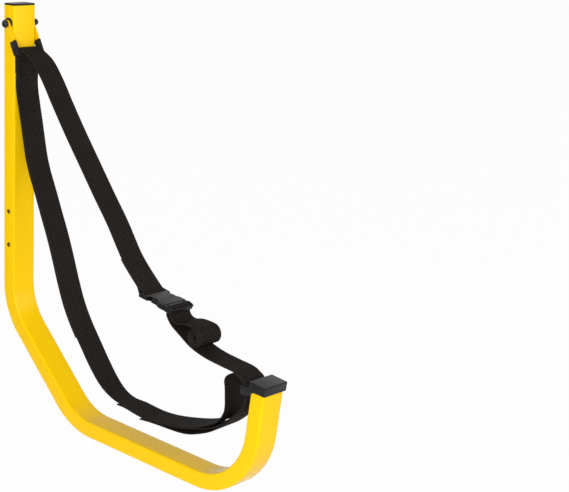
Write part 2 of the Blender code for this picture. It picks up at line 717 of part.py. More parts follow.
def add_buckle_male(buckle):
    half = LOCK_THICKNESS / 2
    web_half = WEB_WIDTH / 2 + WEB_SIDE
    middle = ((LOCK_START + LOCK_END) / 2, 0)
    outline = [rounded_box(LOCK_LENGTH, 2 * BUCKLE_MOUTH_HALF - 0.001, 0.002, 3, middle)]
    male = slab("buckle_male", outline, -half, half, PLASTIC, buckle)
    bevel(male, 0.0015)
    window_start = LOCK_BAR_ALONG - LOCK_BAR_RADIUS - LOCK_SLOT
    window_end = LOCK_BAR_ALONG + LOCK_BAR_RADIUS + LOCK_SLOT
    window = block(
        "lock_window", (window_start, -web_half, -REACH), (window_end, web_half, REACH), PLASTIC, buckle
    )
    combine(male, "DIFFERENCE", window)
    step = block(
        "lock_step", (window_start + 0.001, -web_half, 0.0018), (LOCK_END + REACH, web_half, REACH),
        PLASTIC, buckle,
    )
    combine(male, "DIFFERENCE", step)
    bar = cross_rod(
        "lock_bar", LOCK_BAR_RADIUS, LOCK_BAR_ALONG, LOCK_BAR_ABOVE, web_half + 0.002, PLASTIC, buckle
    )
    combine(male, "UNION", bar)
    tongue_half = TONGUE_THICKNESS / 2
    tongue = block(
        "lock_tongue", (LOCK_START - TONGUE_LENGTH, -TONGUE_HALF, -tongue_half),
        (LOCK_START + 0.003, TONGUE_HALF, tongue_half), PLASTIC, buckle,
    )
    combine(male, "UNION", tongue)
    notch = PRONG_HALF + RUN
    for side, sign in (("left", -1), ("right", 1)):
        root = sign * PRONG_ROOT
        stadium = [
            *turn_path((PRONG_ROOT_ALONG, root), notch, -90, 90, 10),
            (LOCK_START - REACH, root + notch), (LOCK_START - REACH, root - notch),
        ]
        cutter = slab(f"prong_notch_{side}", [stadium], -REACH, REACH, PLASTIC, buckle)
        combine(male, "DIFFERENCE", cutter)
        add_prong(side, sign, buckle)


def add_prong(side, sign, buckle):
    """A latch arm with a press pad at its end. Its empty lies on the root that it bends about."""
    root = empty_at(
        f"prong_{side}_root", Matrix.Translation((PRONG_ROOT_ALONG, sign * PRONG_ROOT, 0)), buckle
    )
    pad = PRONG_OUTER - PRONG_ROOT
    outline = [
        *turn_path((0, 0), PRONG_HALF, -90, 90, 8),
        (-0.014, 0.0042), (-0.0165, pad - 0.0006), (-0.019, pad), (0.004 - PRONG_REACH, pad),
        (0.0008 - PRONG_REACH, pad - 0.0018), (-PRONG_REACH, pad - 0.0045),
        (0.0025 - PRONG_REACH, 0.0024), (-0.019, 0.0016), (-0.014, 0.0008),
    ]
    if sign < 0:
        outline = [(x, -y) for x, y in outline]
    prong = slab(f"buckle_prong_{side}", [outline], -PRONG_THICKNESS / 2, PRONG_THICKNESS / 2, PLASTIC, root)
    bevel(prong, 0.0006, 1)


# Straps
LOOP_INNER = BAR_RADIUS + TOUCH + WEB_THICKNESS / 2
LOOP_OUTER = LOOP_INNER + WEB_PITCH
LOOP_BUCKLE = BUCKLE_BAR_RADIUS + TOUCH + WEB_THICKNESS / 2
LOOP_LOCK = LOCK_BAR_RADIUS + TOUCH + WEB_THICKNESS / 2
LOOP_LENGTH = 0.020     # from the bar's middle to where a loop's two layers meet
LOCK_STUB = 0.002       # straight webbing below the lock


def nearest(path, point):
    return int(np.argmin(np.linalg.norm(path - point, axis=1)))


def ending_at(path, point):
    """The path cut off where it passes nearest to a point."""
    fine = even_path(path, 0.0005)
    marks = np.r_[0, np.cumsum(np.linalg.norm(np.diff(fine, axis=0), axis=1))]
    return trimmed(path, end=marks[-1] - marks[nearest(fine, point)])


def within(path, length, start=0.0):
    """The stretch of a path from a start to a length further on."""
    whole = np.linalg.norm(np.diff(path, axis=0), axis=1).sum()
    return trimmed(path, start, max(whole - start - length, 0))


def sling_front():
    """The sling's upper layer, from where the loop on the strap bar closes to the inner leg's top."""
    below = np.array([BAR[0] - LOOP_INNER + WEB_PITCH, BAR[1] - LOOP_LENGTH])
    knots = [
        below, in_span(-0.0031, 0.9345), in_span(-0.0041, 0.8746), in_span(0.0088, 0.7937),
        in_span(0.0207, 0.7338), in_span(0.0317, 0.6739), in_span(0.0436, 0.6130), in_span(0.0625, 0.5521),
        in_span(0.0864, 0.4922), in_span(0.1172, 0.4113), in_span(0.1480, 0.3315), in_span(0.1748, 0.2506),
        in_span(0.1997, 0.1707), in_span(0.2295, 0.0899), in_span(0.2603, 0.0300), in_span(0.3041, -0.0389),
        in_span(0.3528, -0.1118), in_span(0.3866, -0.1547), in_span(0.4214, -0.1857), in_span(0.4632, -0.2047),
        in_span(0.5079, -0.2107), in_span(0.5934, -0.2226), in_span(0.7057, -0.2132), in_span(0.8300, -0.1781),
        in_span(0.8963, -0.1380), in_span(0.9175, -0.0998), in_span(0.9195, -0.0429), in_span(0.9155, 0.0120),
    ]
    return smooth_path(knots, start=toward(0))


def sling_back(front):
    """From the inner leg over the cap's bar, down through the slot and back below the sling."""
    below = beside(front, -WEB_PITCH)
    meet = nearest(front, in_span(0.7902, -0.1907))
    under = ending_at(below[:meet + 1][::-1], in_span(0.4710, -0.2100))
    turn = smooth_path(
        [
            in_span(0.9155, 0.0120), in_span(0.9314, 0.0359), in_span(0.9533, 0.0439),
            SLOT + np.array([-0.0145, 0.0165]), SLOT + np.array([-0.0065, 0.0115]),
            SLOT + np.array([-0.0037, 0.0072]), SLOT + np.array([-0.0030, -0.002]),
            SLOT + np.array([-0.0022, -0.016]), SLOT + np.array([-0.0080, -0.032]),
            SLOT + np.array([-0.0225, -0.0475]), SLOT + np.array([-0.0390, -0.0622]),
            SLOT + np.array([-0.0555, -0.0746]), SLOT + np.array([-0.0730, -0.0840]), under[0],
        ],
        WEB_STEP / 2, start=toward(math.radians(176)), end=-directions(front)[meet],
    )
    return turn, under


def winding(centre, radius, start):
    """The rolled tail: a flat spiral inwards, clockwise from an angle in degrees."""
    steps = ROLL_TURNS * ROLL_POINTS
    angles = np.radians(start - 360 * np.arange(steps + 1) / ROLL_POINTS)
    radii = radius - ROLL_PITCH * np.arange(steps + 1) / ROLL_POINTS
    return centre + radii[:, None] * np.column_stack([np.cos(angles), np.sin(angles)])


def least_gap(path):
    """The least distance between stretches of a strap that lie more than a short way apart on it."""
    fine = even_path(path, 0.0002)
    near = int(6 * WEB_THICKNESS / 0.0002)
    least = min(
        float(np.linalg.norm(fine[k + near:] - fine[k], axis=1).min())
        for k in range(0, len(fine) - near, 4)
    )
    return least - WEB_THICKNESS


def add_straps(buckle):
    """Both straps, drawn in place. The rolled tail belongs to the buckle's male half."""
    front = sling_front()
    hem_end = nearest(front, in_span(0.2812, -0.0040))
    split = front[hem_end:]
    wall_layer = beside(front, -WEB_PITCH)[:hem_end + 1][::-1]
    over_bar = turn_path(
        BAR, LOOP_INNER, 180, tangent_angle(BAR, LOOP_INNER, front[0], 1), STRAP_TURN_STEPS
    )
    ribbon("sling_strap_upper", joined(wall_layer, over_bar, front[:hem_end + 1], within(split, 0.014)))
    turn, under = sling_back(front)
    cradle = trimmed(split, 0.014 + TOUCH)
    ribbon("sling_strap_lower", drooping(joined(cradle, turn, under)))

    # The safety strap's upper length, from its hem behind the sling's loop to the buckle's bar
    hem = within(beside(front, -2 * WEB_PITCH), SAFETY_HEM - LOOP_LENGTH)[::-1]
    first = in_span(0.0695, 0.9694)
    last = in_span(0.5069, 0.3025)
    leave = tangent_angle(BAR, LOOP_OUTER, first, 1)
    arrive = tangent_angle(BUCKLE_BAR, LOOP_BUCKLE, last, -1)
    over = turn_path(BAR, LOOP_OUTER, 180, leave, STRAP_TURN_STEPS)
    landing = turn_path(BUCKLE_BAR, LOOP_BUCKLE, arrive, arrive, 1)[0]
    span = smooth_path(
        [
            over[-1], first, in_span(0.1112, 0.9145), in_span(0.1589, 0.8347), in_span(0.2216, 0.7338),
            in_span(0.2882, 0.6330), in_span(0.3548, 0.5321), in_span(0.4224, 0.4323),
            in_span(0.4522, 0.3814), in_span(0.4830, 0.3315), last, landing,
        ],
        start=toward(math.radians(leave)), end=toward(math.radians(arrive)),
    )
    below_span = beside(span, -WEB_PITCH)[::-1]
    buckle_hem = within(below_span, BUCKLE_HEM, LOOP_LENGTH)
    closing = tangent_angle(BUCKLE_BAR, LOOP_BUCKLE, buckle_hem[0], 1)
    wrap = turn_path(BUCKLE_BAR, LOOP_BUCKLE, arrive, closing - 360, STRAP_TURN_STEPS)
    ribbon("safety_strap_upper", joined(hem, over, span, wrap, buckle_hem))

    # The lower length, from the ladder lock into the cap's slot and back below the sling
    tilt = math.degrees(BUCKLE_TILT)
    inner_leg, outer_leg = LOCK_BAR_ALONG - LOOP_LOCK, LOCK_BAR_ALONG + LOOP_LOCK
    lock_foot = -LOCK_THICKNESS / 2 - 0.0015
    slack_at = in_span(SAFETY_SLACK_AT, 0)[0]
    back = joined(turn, under)
    swell = np.exp(-((back[:, 0] - slack_at) / SAFETY_SLACK_REACH) ** 2)
    outer = beside(back, WEB_PITCH + SAFETY_SLACK * np.clip(1.19 * swell - 0.19, 0, None))
    joining = nearest(outer, in_span(0.9573, 0.0489))
    end = nearest(outer, in_span(0.5629, -0.2276))
    down = -square_to(BUCKLE_ALONG)
    lower = smooth_path(
        [
            at_buckle(inner_leg, lock_foot - LOCK_STUB), in_span(0.6839, 0.1617), in_span(0.6978, 0.1448),
            in_span(0.7196, 0.1288), in_span(0.7803, 0.0879), in_span(0.8389, 0.0679),
            in_span(0.8986, 0.0579), outer[joining],
        ],
        start=down, end=directions(outer)[joining],
    )
    top = at_buckle(inner_leg, lock_foot - TOUCH)
    ribbon("safety_strap_lower", drooping(joined([top], lower, outer[joining:end + 1])))

    # The tail, over the lock's bar, down beside the lower length and rolled up on it
    radius = ROLL_CORE + ROLL_TURNS * ROLL_PITCH
    rest = nearest(lower, in_span(0.7803, 0.0869))
    seat = lower[rest]
    for _ in range(4):
        short = radius + WEB_THICKNESS + RUN - np.linalg.norm(even_path(lower, 0.001) - seat, axis=1).min()
        seat = seat + square_to(directions(lower)[rest]) * short
    roll = winding(seat, radius, ROLL_START)
    over_lock = turn_path(at_buckle(LOCK_BAR_ALONG, LOCK_BAR_ABOVE), LOOP_LOCK, 180 + tilt, tilt, 8)
    tail = smooth_path(
        [
            at_buckle(outer_leg, lock_foot), in_span(0.6933, 0.1687), in_span(0.7018, 0.1607),
            in_span(0.7147, 0.1567), in_span(0.7415, 0.1617), roll[0],
        ],
        WEB_STEP / 2, start=down, end=toward(math.radians(ROLL_START)),
    )
    whole = joined([at_buckle(inner_leg, lock_foot)], over_lock, tail, roll)
    ribbon("strap_tail_roll", whole, buckle)
    print(f"rolled tail: least gap between its turns {least_gap(whole) * 1000:.2f} mm")


add_tube()
add_plug()
add_hanger()
add_tip_cap()
BUCKLE = empty_at("buckle", buckle_frame())
add_buckle_female(BUCKLE)
add_buckle_male(BUCKLE)
add_straps(BUCKLE)
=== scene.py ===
# Looks of the kayak wall hook: a powder-coated box tube, black webbing straps, a side-release buckle
# and moulded caps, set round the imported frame. Metres, +Z up, with the wall at Y = 0.

import json
import math

import bmesh
import bpy
import numpy as np
from mathutils import Matrix, Vector


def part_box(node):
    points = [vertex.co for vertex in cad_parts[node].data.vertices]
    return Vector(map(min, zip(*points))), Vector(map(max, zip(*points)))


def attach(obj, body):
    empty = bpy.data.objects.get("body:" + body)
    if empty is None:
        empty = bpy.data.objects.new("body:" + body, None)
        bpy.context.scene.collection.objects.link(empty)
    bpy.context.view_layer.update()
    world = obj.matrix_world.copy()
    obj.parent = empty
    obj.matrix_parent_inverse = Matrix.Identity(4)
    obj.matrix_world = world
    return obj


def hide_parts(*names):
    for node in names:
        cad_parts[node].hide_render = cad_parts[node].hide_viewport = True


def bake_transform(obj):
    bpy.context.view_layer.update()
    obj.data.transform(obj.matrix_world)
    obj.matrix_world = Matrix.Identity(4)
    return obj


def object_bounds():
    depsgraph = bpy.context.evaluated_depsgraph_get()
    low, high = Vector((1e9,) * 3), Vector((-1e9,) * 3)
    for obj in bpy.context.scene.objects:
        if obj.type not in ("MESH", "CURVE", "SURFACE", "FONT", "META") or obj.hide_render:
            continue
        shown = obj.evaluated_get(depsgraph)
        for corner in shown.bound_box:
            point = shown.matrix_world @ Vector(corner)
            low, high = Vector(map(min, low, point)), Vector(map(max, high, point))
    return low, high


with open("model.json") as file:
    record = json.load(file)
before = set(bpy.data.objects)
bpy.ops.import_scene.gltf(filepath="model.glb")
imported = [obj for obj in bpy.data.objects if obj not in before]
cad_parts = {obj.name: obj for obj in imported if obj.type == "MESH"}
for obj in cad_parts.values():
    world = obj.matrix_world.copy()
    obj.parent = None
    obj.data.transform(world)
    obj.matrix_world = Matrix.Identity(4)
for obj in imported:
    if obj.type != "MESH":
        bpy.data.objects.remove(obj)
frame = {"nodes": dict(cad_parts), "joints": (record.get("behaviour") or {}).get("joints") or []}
cadLow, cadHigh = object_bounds()
joints = {joint["name"]: joint for joint in frame["joints"]}
print("frame loaded")


# Camera, at the photograph's place
view = {
    "place": (-1.8823, -2.2505, 0.6908),
    "azimuth": -49.95,      # degrees round the hook from straight ahead
    "elevation": 13.79,
    "roll": 2.51,
    "focalLength": 99.66,   # mm on a sensor 36 mm wide
}


def addCamera():
    azimuth, elevation, roll = (math.radians(view[key]) for key in ("azimuth", "elevation", "roll"))
    outward = math.cos(elevation)
    back = Vector((math.sin(azimuth) * outward, -math.cos(azimuth) * outward, math.sin(elevation)))
    level = Vector((0, 0, 1)).cross(back).normalized()
    upright = back.cross(level)
    right = level * math.cos(roll) + upright * math.sin(roll)
    camera = bpy.data.objects.new("camera", bpy.data.cameras.new("camera"))
    bpy.context.scene.collection.objects.link(camera)
    turn = Matrix((right, back.cross(right), back)).transposed().to_4x4()
    camera.matrix_world = Matrix.Translation(view["place"]) @ turn
    camera.data.lens = view["focalLength"]
    camera.data.clip_end = 100
    bpy.context.scene.camera = camera


addCamera()


# Node trees: a socket that takes part in sums, and a maker of nodes
def sums(operation, flipped=False):
    return lambda self, other: self.apply(operation, other, flipped)


class Wire:
    def __init__(self, maker, socket):
        self.maker = maker
        self.socket = socket

    def apply(self, operation, other=None, flipped=False):
        values = [self] if other is None else [other, self] if flipped else [self, other]
        return self.maker.node("ShaderNodeMath", {"operation": operation}, dict(enumerate(values)))

    __add__ = __radd__ = sums("ADD")
    __sub__ = sums("SUBTRACT")
    __rsub__ = sums("SUBTRACT", flipped=True)
    __mul__ = __rmul__ = sums("MULTIPLY")
    __truediv__ = sums("DIVIDE")


class NodeMaker:
    def __init__(self, tree):
        self.tree = tree

    def node(self, kind, settings=None, sockets=None, output=0):
        made = self.tree.nodes.new(kind)
        for name, value in (settings or {}).items():
            setattr(made, name, value)
        for name, value in (sockets or {}).items():
            if isinstance(value, Wire):
                self.tree.links.new(value.socket, made.inputs[name])
            else:
                made.inputs[name].default_value = value
        return Wire(self, made.outputs[output])

    def blendColours(self, factor, first, second):
        return self.node("ShaderNodeMix", {"data_type": "RGBA"}, {0: factor, 6: first, 7: second}, 2)

    def joined(self, first, second, *, factor):
        return self.node("ShaderNodeMixShader", {}, {0: factor, 1: first, 2: second})

    def place(self):
        return self.node("ShaderNodeTexCoord", output="Object")

    def part(self, vector, axis):
        return self.node("ShaderNodeSeparateXYZ", {}, {0: vector}, axis)

    def noise(self, place, scale, detail=2.0):
        return self.node("ShaderNodeTexNoise", {}, {"Vector": place, "Scale": scale, "Detail": detail})

    def bump(self, strength, distance, height):
        return self.node("ShaderNodeBump", {}, {"Strength": strength, "Distance": distance, "Height": height})


def newMaterial(name):
    material = bpy.data.materials.new(name)
    material.use_nodes = True
    material.node_tree.nodes.clear()
    return material, NodeMaker(material.node_tree)


def finishMaterial(maker, shader, kind="ShaderNodeOutputMaterial"):
    output = maker.tree.nodes.new(kind)
    maker.tree.links.new(shader.socket, output.inputs["Surface"])


def principled(material, maker, sockets):
    finishMaterial(maker, maker.node("ShaderNodeBsdfPrincipled", {}, sockets))
    return material


# Finishes
powderCoat = {
    "colour": (0.985, 0.615, 0.0005, 1),
    "shaded": (0.96, 0.56, 0.0003, 1),      # where the coat lies a little thicker
    "roughness": 0.23,
    "peel": 480,                            # orange-peel bumps per metre
    "peelHeight": 0.00006,
    "shine": 0.16,
}


def makePowderCoat():
    material, maker = newMaterial("powder_coat_yellow")
    place = maker.place()
    broad = maker.noise(place, 14, 3)
    peel = maker.noise(place, powderCoat["peel"], 1.5)
    speck = maker.noise(place, 2600, 0)
    return principled(material, maker, {
        "Base Color": maker.blendColours(broad * 0.5, powderCoat["colour"], powderCoat["shaded"]),
        "Roughness": broad * 0.08 + peel * 0.06 + (powderCoat["roughness"] - 0.07),
        "Normal": maker.bump(0.35, powderCoat["peelHeight"], peel + speck * 0.15),
        "IOR": 1.5,
        "Specular IOR Level": powderCoat["shine"],
    })


plastic = {
    "colour": (0.0085, 0.008, 0.009, 1),
    "worn": (0.016, 0.015, 0.017, 1),
    "roughness": 0.36,
    "grain": 2200,      # moulded grain per metre
}


def makePlastic(name, roughness, grainHeight, shine=0.26):
    material, maker = newMaterial(name)
    place = maker.place()
    grain = maker.noise(place, plastic["grain"], 1)
    flow = maker.noise(place, 90, 3)
    return principled(material, maker, {
        "Base Color": maker.blendColours(flow * 0.8, plastic["colour"], plastic["worn"]),
        "Roughness": flow * 0.16 + grain * 0.08 + (roughness - 0.12),
        "Normal": maker.bump(0.5, grainHeight, grain),
        "IOR": 1.5,
        "Specular IOR Level": shine,
    })


def makeSteel(name, colour, roughness, metallic):
    material, maker = newMaterial(name)
    spangle = maker.noise(maker.place(), 400, 4)
    dulled = tuple(part * 0.7 for part in colour[:3]) + (1,)
    return principled(material, maker, {
        "Base Color": maker.blendColours(spangle, colour, dulled),
        "Roughness": spangle * 0.2 + (roughness - 0.1),
        "Metallic": metallic,
        "Normal": maker.bump(0.3, 0.00003, spangle),
    })


weave = {
    # the yarn's colour runs from dark in the weave's valleys (painted shade) to light on the ribs' tops
    # (painted light), with random lint tone
    "dark": (0.0008, 0.0007, 0.0006, 1),
    "light": (0.048, 0.040, 0.036, 1),
    "rib": 0.0052,          # twill ribs' pitch along the strap
    "slant": 0.55,          # how far a rib runs along for each width across
    "yarn": 0.0011,         # pitch of the yarns along a rib
    "selvedge": 0.0225,     # from the middle to where the plain selvedge begins
    "height": 0.00028,
    "roughness": 0.62,
    "shine": 0.03,
}


def makeWebbing():
    material, maker = newMaterial("black_webbing")
    place = maker.node("ShaderNodeUVMap", {"uv_map": "strap"})
    across, along = maker.part(place, "X"), maker.part(place, "Y")
    wobble = maker.noise(place, 160) * 0.0009
    turn = math.tau
    ribWave = ((along - across * weave["slant"] + wobble) * (turn / weave["rib"])).apply("SINE")
    yarnWave = ((across + along * 0.35) * (turn / weave["yarn"])).apply("SINE")
    edgeWave = (along * (turn / (weave["rib"] / 2))).apply("SINE")
    atEdge = across.apply("ABSOLUTE").apply("GREATER_THAN", weave["selvedge"])
    ribs = (ribWave * 0.5 + 0.5).apply("POWER", 1.5)
    body = ribs * (yarnWave * 0.16 + 0.84)
    height = body * (1 - atEdge) + (edgeWave * 0.2 + 0.5) * atEdge
    lint = maker.noise(place, 900)
    # painted shade and light: darker in the weave's valleys and lighter on the ribs' tops, following the
    # bump's height, plus random lint and broad tone
    valleyShadeAndLint = height * 0.62 + lint * 0.2 + maker.noise(place, 30) * 0.1
    return principled(material, maker, {
        "Base Color": maker.blendColours(valleyShadeAndLint, weave["dark"], weave["light"]),
        "Roughness": lint * 0.15 + weave["roughness"],
        "Normal": maker.bump(0.9, weave["height"], height),
        "Specular IOR Level": weave["shine"],
    })


def makeThread():
    material, maker = newMaterial("black_thread")
    twist = maker.noise(maker.place(), 3000, 1)
    return principled(material, maker, {
        "Base Color": maker.blendColours(twist, (0.012, 0.011, 0.011, 1), (0.05, 0.047, 0.045, 1)),
        "Roughness": twist * 0.2 + 0.4,
    })


finishes = {
    "coat": makePowderCoat(),
    "moulded": makePlastic("black_plastic_grained", 0.42, 0.00004),
    "smooth": makePlastic("black_plastic_smooth", plastic["roughness"], 0.00001, 0.17),
    "nylon": makePlastic("black_nylon", 0.5, 0.00002),
    "blackSteel": makeSteel("blackened_steel", (0.03, 0.028, 0.03, 1), 0.38, 0.4),
    "zinc": makeSteel("zinc_plated_steel", (0.55, 0.55, 0.56, 1), 0.35, 1.0),
    # unpainted steel inside the tube, near-black as painted shade
    "bareWithPaintedShade": makeSteel("bare_inside_painted_shade", (0.006, 0.005, 0.004, 1), 0.85, 0.0),
    "webbing": makeWebbing(),
    "thread": makeThread(),
}
print("finishes made")


# Meshes and pieces
def linked(name, data):
    made = bpy.data.objects.new(name, data)
    bpy.context.scene.collection.objects.link(made)
    return made


def facingOut(mesh):
    shape = bmesh.new()
    shape.from_mesh(mesh)
    bmesh.ops.recalc_face_normals(shape, faces=shape.faces)
    shape.to_mesh(mesh)
    shape.free()


def fromBmesh(name, shape, matrix):
    mesh = bpy.data.meshes.new(name)
    shape.to_mesh(mesh)
    shape.free()
    mesh.transform(matrix)
    return linked(name, mesh)


def baked(piece):  # the evaluated mesh in place of the object's data, without its modifiers
    bpy.context.view_layer.update()
    graph = bpy.context.evaluated_depsgraph_get()
    mesh = bpy.data.meshes.new_from_object(piece.evaluated_get(graph))
    mesh.name = name = piece.name
    if piece.type == "CURVE":
        bpy.data.objects.remove(piece)
        return linked(name, mesh)
    piece.modifiers.clear()
    piece.data = mesh
    return piece


def combined(piece, operation, *others):
    for other in others:
        change = piece.modifiers.new(operation.lower(), "BOOLEAN")
        change.operation = operation
        change.solver = "EXACT"
        change.object = other
    piece = baked(piece)
    for other in others:
        bpy.data.objects.remove(other)
    return piece


def softened(piece, width, segments=3, angle=35):
    change = piece.modifiers.new("soft_edges", "BEVEL")
    change.width = width
    change.segments = segments
    change.limit_method = "ANGLE"
    change.angle_limit = math.radians(angle)
    change.use_clamp_overlap = True
    return baked(piece)


def handIn(piece, body, finish, slotName, *nodes, sharp=32):
    mesh = piece.data
    mesh.materials.clear()
    mesh.materials.append(finishes[finish])
    mesh.shade_smooth()
    mesh.set_sharp_from_angle(angle=math.radians(sharp))
    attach(piece, body)
    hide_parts(*nodes)


def frameOf(origin, along, turnAxis):  # local x lies along, local z is the turn axis
    along, turnAxis = Vector(along).normalized(), Vector(turnAxis).normalized()
    rows = (along, turnAxis.cross(along), turnAxis)
    return Matrix.Translation(origin) @ Matrix(rows).transposed().to_4x4()


def arc(centre, radius, start, end, steps):  # angles in degrees
    angles = np.radians(np.linspace(start, end, steps + 1))
    return [(centre[0] + radius * math.cos(a), centre[1] + radius * math.sin(a)) for a in angles]


def roundBox(width, depth, radius, steps=6, middle=(0, 0)):
    points = []
    for corner, (side, top) in enumerate(((1, 1), (-1, 1), (-1, -1), (1, -1))):
        centre = (middle[0] + side * (width / 2 - radius), middle[1] + top * (depth / 2 - radius))
        points.extend(arc(centre, radius, 90 * corner, 90 * corner + 90, steps))
    return points


def polyCurve(name, lines, flat=True, cyclic=True):  # points are (x, y) in a flat curve, else (x, y, z)
    curve = bpy.data.curves.new(name, "CURVE")
    curve.dimensions = "2D" if flat else "3D"
    for line in lines:
        spline = curve.splines.new("POLY")
        spline.points.add(len(line) - 1)
        for point, place in zip(spline.points, line):
            point.co = (*place, 0, 1) if flat else (*place, 1)
        spline.use_cyclic_u = cyclic
    return linked(name, curve)


def plate(name, outlines, low, high, matrix):  # a flat outline with any holes, made solid
    holder = polyCurve(name, outlines)
    holder.data.fill_mode = "BOTH"
    holder.data.extrude = (high - low) / 2
    solid = baked(holder)
    shape = bmesh.new()
    shape.from_mesh(solid.data)
    bpy.data.objects.remove(solid)
    bmesh.ops.remove_doubles(shape, verts=shape.verts, dist=0.00001)
    bmesh.ops.dissolve_limit(shape, angle_limit=math.radians(0.5), verts=shape.verts, edges=shape.edges)
    bmesh.ops.recalc_face_normals(shape, faces=shape.faces)
    return fromBmesh(name, shape, matrix @ Matrix.Translation((0, 0, (high + low) / 2)))


def box(name, low, high, matrix):
    low, high = Vector(low), Vector(high)
    shape = bmesh.new()
    bmesh.ops.create_cube(shape, size=1)
    bmesh.ops.scale(shape, vec=high - low, verts=shape.verts)
    bmesh.ops.translate(shape, vec=(high + low) / 2, verts=shape.verts)
    return fromBmesh(name, shape, matrix)


def rod(name, radius, low, high, matrix, place=(0, 0), sides=48):
    shape = bmesh.new()
    bmesh.ops.create_cone(
        shape, cap_ends=True, segments=sides, radius1=radius, radius2=radius, depth=high - low
    )
    bmesh.ops.translate(shape, vec=(*place, (low + high) / 2), verts=shape.verts)
    return fromBmesh(name, shape, matrix)


def lofted(name, rings, matrix):  # a closed skin through rings of as many points each
    shape = bmesh.new()
    rows = [[shape.verts.new(point) for point in ring] for ring in rings]
    for lower, upper in zip(rows, rows[1:]):
        for k in range(len(lower)):
            shape.faces.new((lower[k - 1], lower[k], upper[k], upper[k - 1]))
    shape.faces.new(rows[0][::-1])
    shape.faces.new(rows[-1])
    bmesh.ops.recalc_face_normals(shape, faces=shape.faces)
    return fromBmesh(name, shape, matrix)


def turned(name, profile, matrix, closed=False, steps=64):  # (radius, height), spun about local z
    shape = bmesh.new()
    corners = [shape.verts.new((radius, 0, height)) for radius, height in profile]
    edges = [shape.edges.new(pair) for pair in zip(corners, corners[1:])]
    if closed:
        edges.append(shape.edges.new((corners[-1], corners[0])))
    bmesh.ops.spin(
        shape, geom=corners + edges, axis=(0, 0, 1), cent=(0, 0, 0),
        angle=math.tau, steps=steps, use_duplicate=False,
    )
    bmesh.ops.remove_doubles(shape, verts=shape.verts, dist=0.000005)
    bmesh.ops.recalc_face_normals(shape, faces=shape.faces)
    return fromBmesh(name, shape, matrix)


# Geometry node trees
def newTree(name, inputs):
    tree = bpy.data.node_groups.new(name, "GeometryNodeTree")
    tree.interface.new_socket("Geometry", in_out="INPUT", socket_type="NodeSocketGeometry")
    for label, kind in inputs.items():
        tree.interface.new_socket(label, in_out="INPUT", socket_type=f"NodeSocket{kind}")
    tree.interface.new_socket("Geometry", in_out="OUTPUT", socket_type="NodeSocketGeometry")
    maker = NodeMaker(tree)
    entry = tree.nodes.new("NodeGroupInput")
    given = {socket.name: Wire(maker, socket) for socket in entry.outputs if socket.name}
    return tree, maker, given


def closeTree(maker, geometry, material):
    solid = maker.node("GeometryNodeRealizeInstances", {}, {0: geometry})
    painted = maker.node("GeometryNodeSetMaterial", {}, {"Geometry": solid, "Material": material})
    leave = maker.tree.nodes.new("NodeGroupOutput")
    maker.tree.links.new(painted.socket, leave.inputs[0])


def grown(piece, tree, values):  # the tree's result as a plain mesh
    change = piece.modifiers.new(tree.name, "NODES")
    change.node_group = tree
    for item in tree.interface.items_tree:
        if item.in_out == "INPUT" and item.name in values:
            change[item.identifier] = values[item.name]
    return baked(piece)


def sectionTree():  # a round-cornered section swept along a path
    tree, maker, given = newTree("swept_section", {"Width": "Float", "Depth": "Float", "Corner": "Float"})
    outline = maker.node(
        "GeometryNodeCurvePrimitiveQuadrilateral", {}, {"Width": given["Width"], "Height": given["Depth"]}
    )
    section = maker.node(
        "GeometryNodeFilletCurve", {"mode": "POLY"},
        {"Curve": outline, "Radius": given["Corner"], "Count": tubeSize["cornerSteps"]},
    )
    swept = maker.node(
        "GeometryNodeCurveToMesh", {}, {"Curve": given["Geometry"], "Profile Curve": section}
    )
    closeTree(maker, swept, finishes["coat"])
    return tree


def stitchTree():  # thread stitches laid along seam lines
    tree, maker, given = newTree(
        "stitches", {"Pitch": "Float", "Length": "Float", "Radius": "Float"}
    )
    spaced = maker.node(
        "GeometryNodeResampleCurve", {"mode": "LENGTH"},
        {"Curve": given["Geometry"], "Length": given["Pitch"]},
    )
    bead = maker.node(
        "GeometryNodeMeshUVSphere", {}, {"Segments": 8, "Rings": 5, "Radius": given["Radius"]}
    )
    stretch = maker.node(
        "ShaderNodeCombineXYZ", {}, {"X": given["Length"] / (given["Radius"] * 2), "Y": 1.0, "Z": 0.8}
    )
    turn = maker.node(
        "FunctionNodeAlignRotationToVector", {"axis": "X"},
        {"Vector": maker.node("GeometryNodeInputTangent")},
    )
    placed = maker.node("GeometryNodeInstanceOnPoints", {}, {
        "Points": spaced, "Instance": bead, "Rotation": turn, "Scale": stretch,
    })
    closeTree(maker, placed, finishes["thread"])
    return tree


# Tube: the path's corners are rounded by arcs, in (out, up)
tubeSize = {
    "width": 0.050,
    "depth": 0.030,
    "wall": 0.002,
    "corner": 0.0038,
    "cornerSteps": 7,
    "firstCorner": -0.155,
    "runs": (0.2564, 0.4251, 0.2063),
    "turns": (45, 42, 86),          # degrees
    "bendRadius": 0.120,
    "bendStep": 2.0,                # degrees
    "holeSpacing": 0.0635,
    "holeRadius": 0.00425,
    "holeMargin": 0.0001,           # how near its hole a drilled face lies
    "pivotHole": 0.0048,
}
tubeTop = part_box("hook_tube")[1].z


def toward(degrees):  # a direction in the side view, 0 being straight down and 90 straight out
    return np.array([math.sin(math.radians(degrees)), -math.cos(math.radians(degrees))])


def leftOf(direction):
    return np.array([-direction[1], direction[0]])


def tubeCorners():
    middle = tubeSize["depth"] / 2
    corners = [np.array([middle, tubeTop]), np.array([middle, tubeSize["firstCorner"]])]
    for run, heading in zip(tubeSize["runs"], np.cumsum(tubeSize["turns"])):
        corners.append(corners[-1] + run * toward(heading))
    return corners


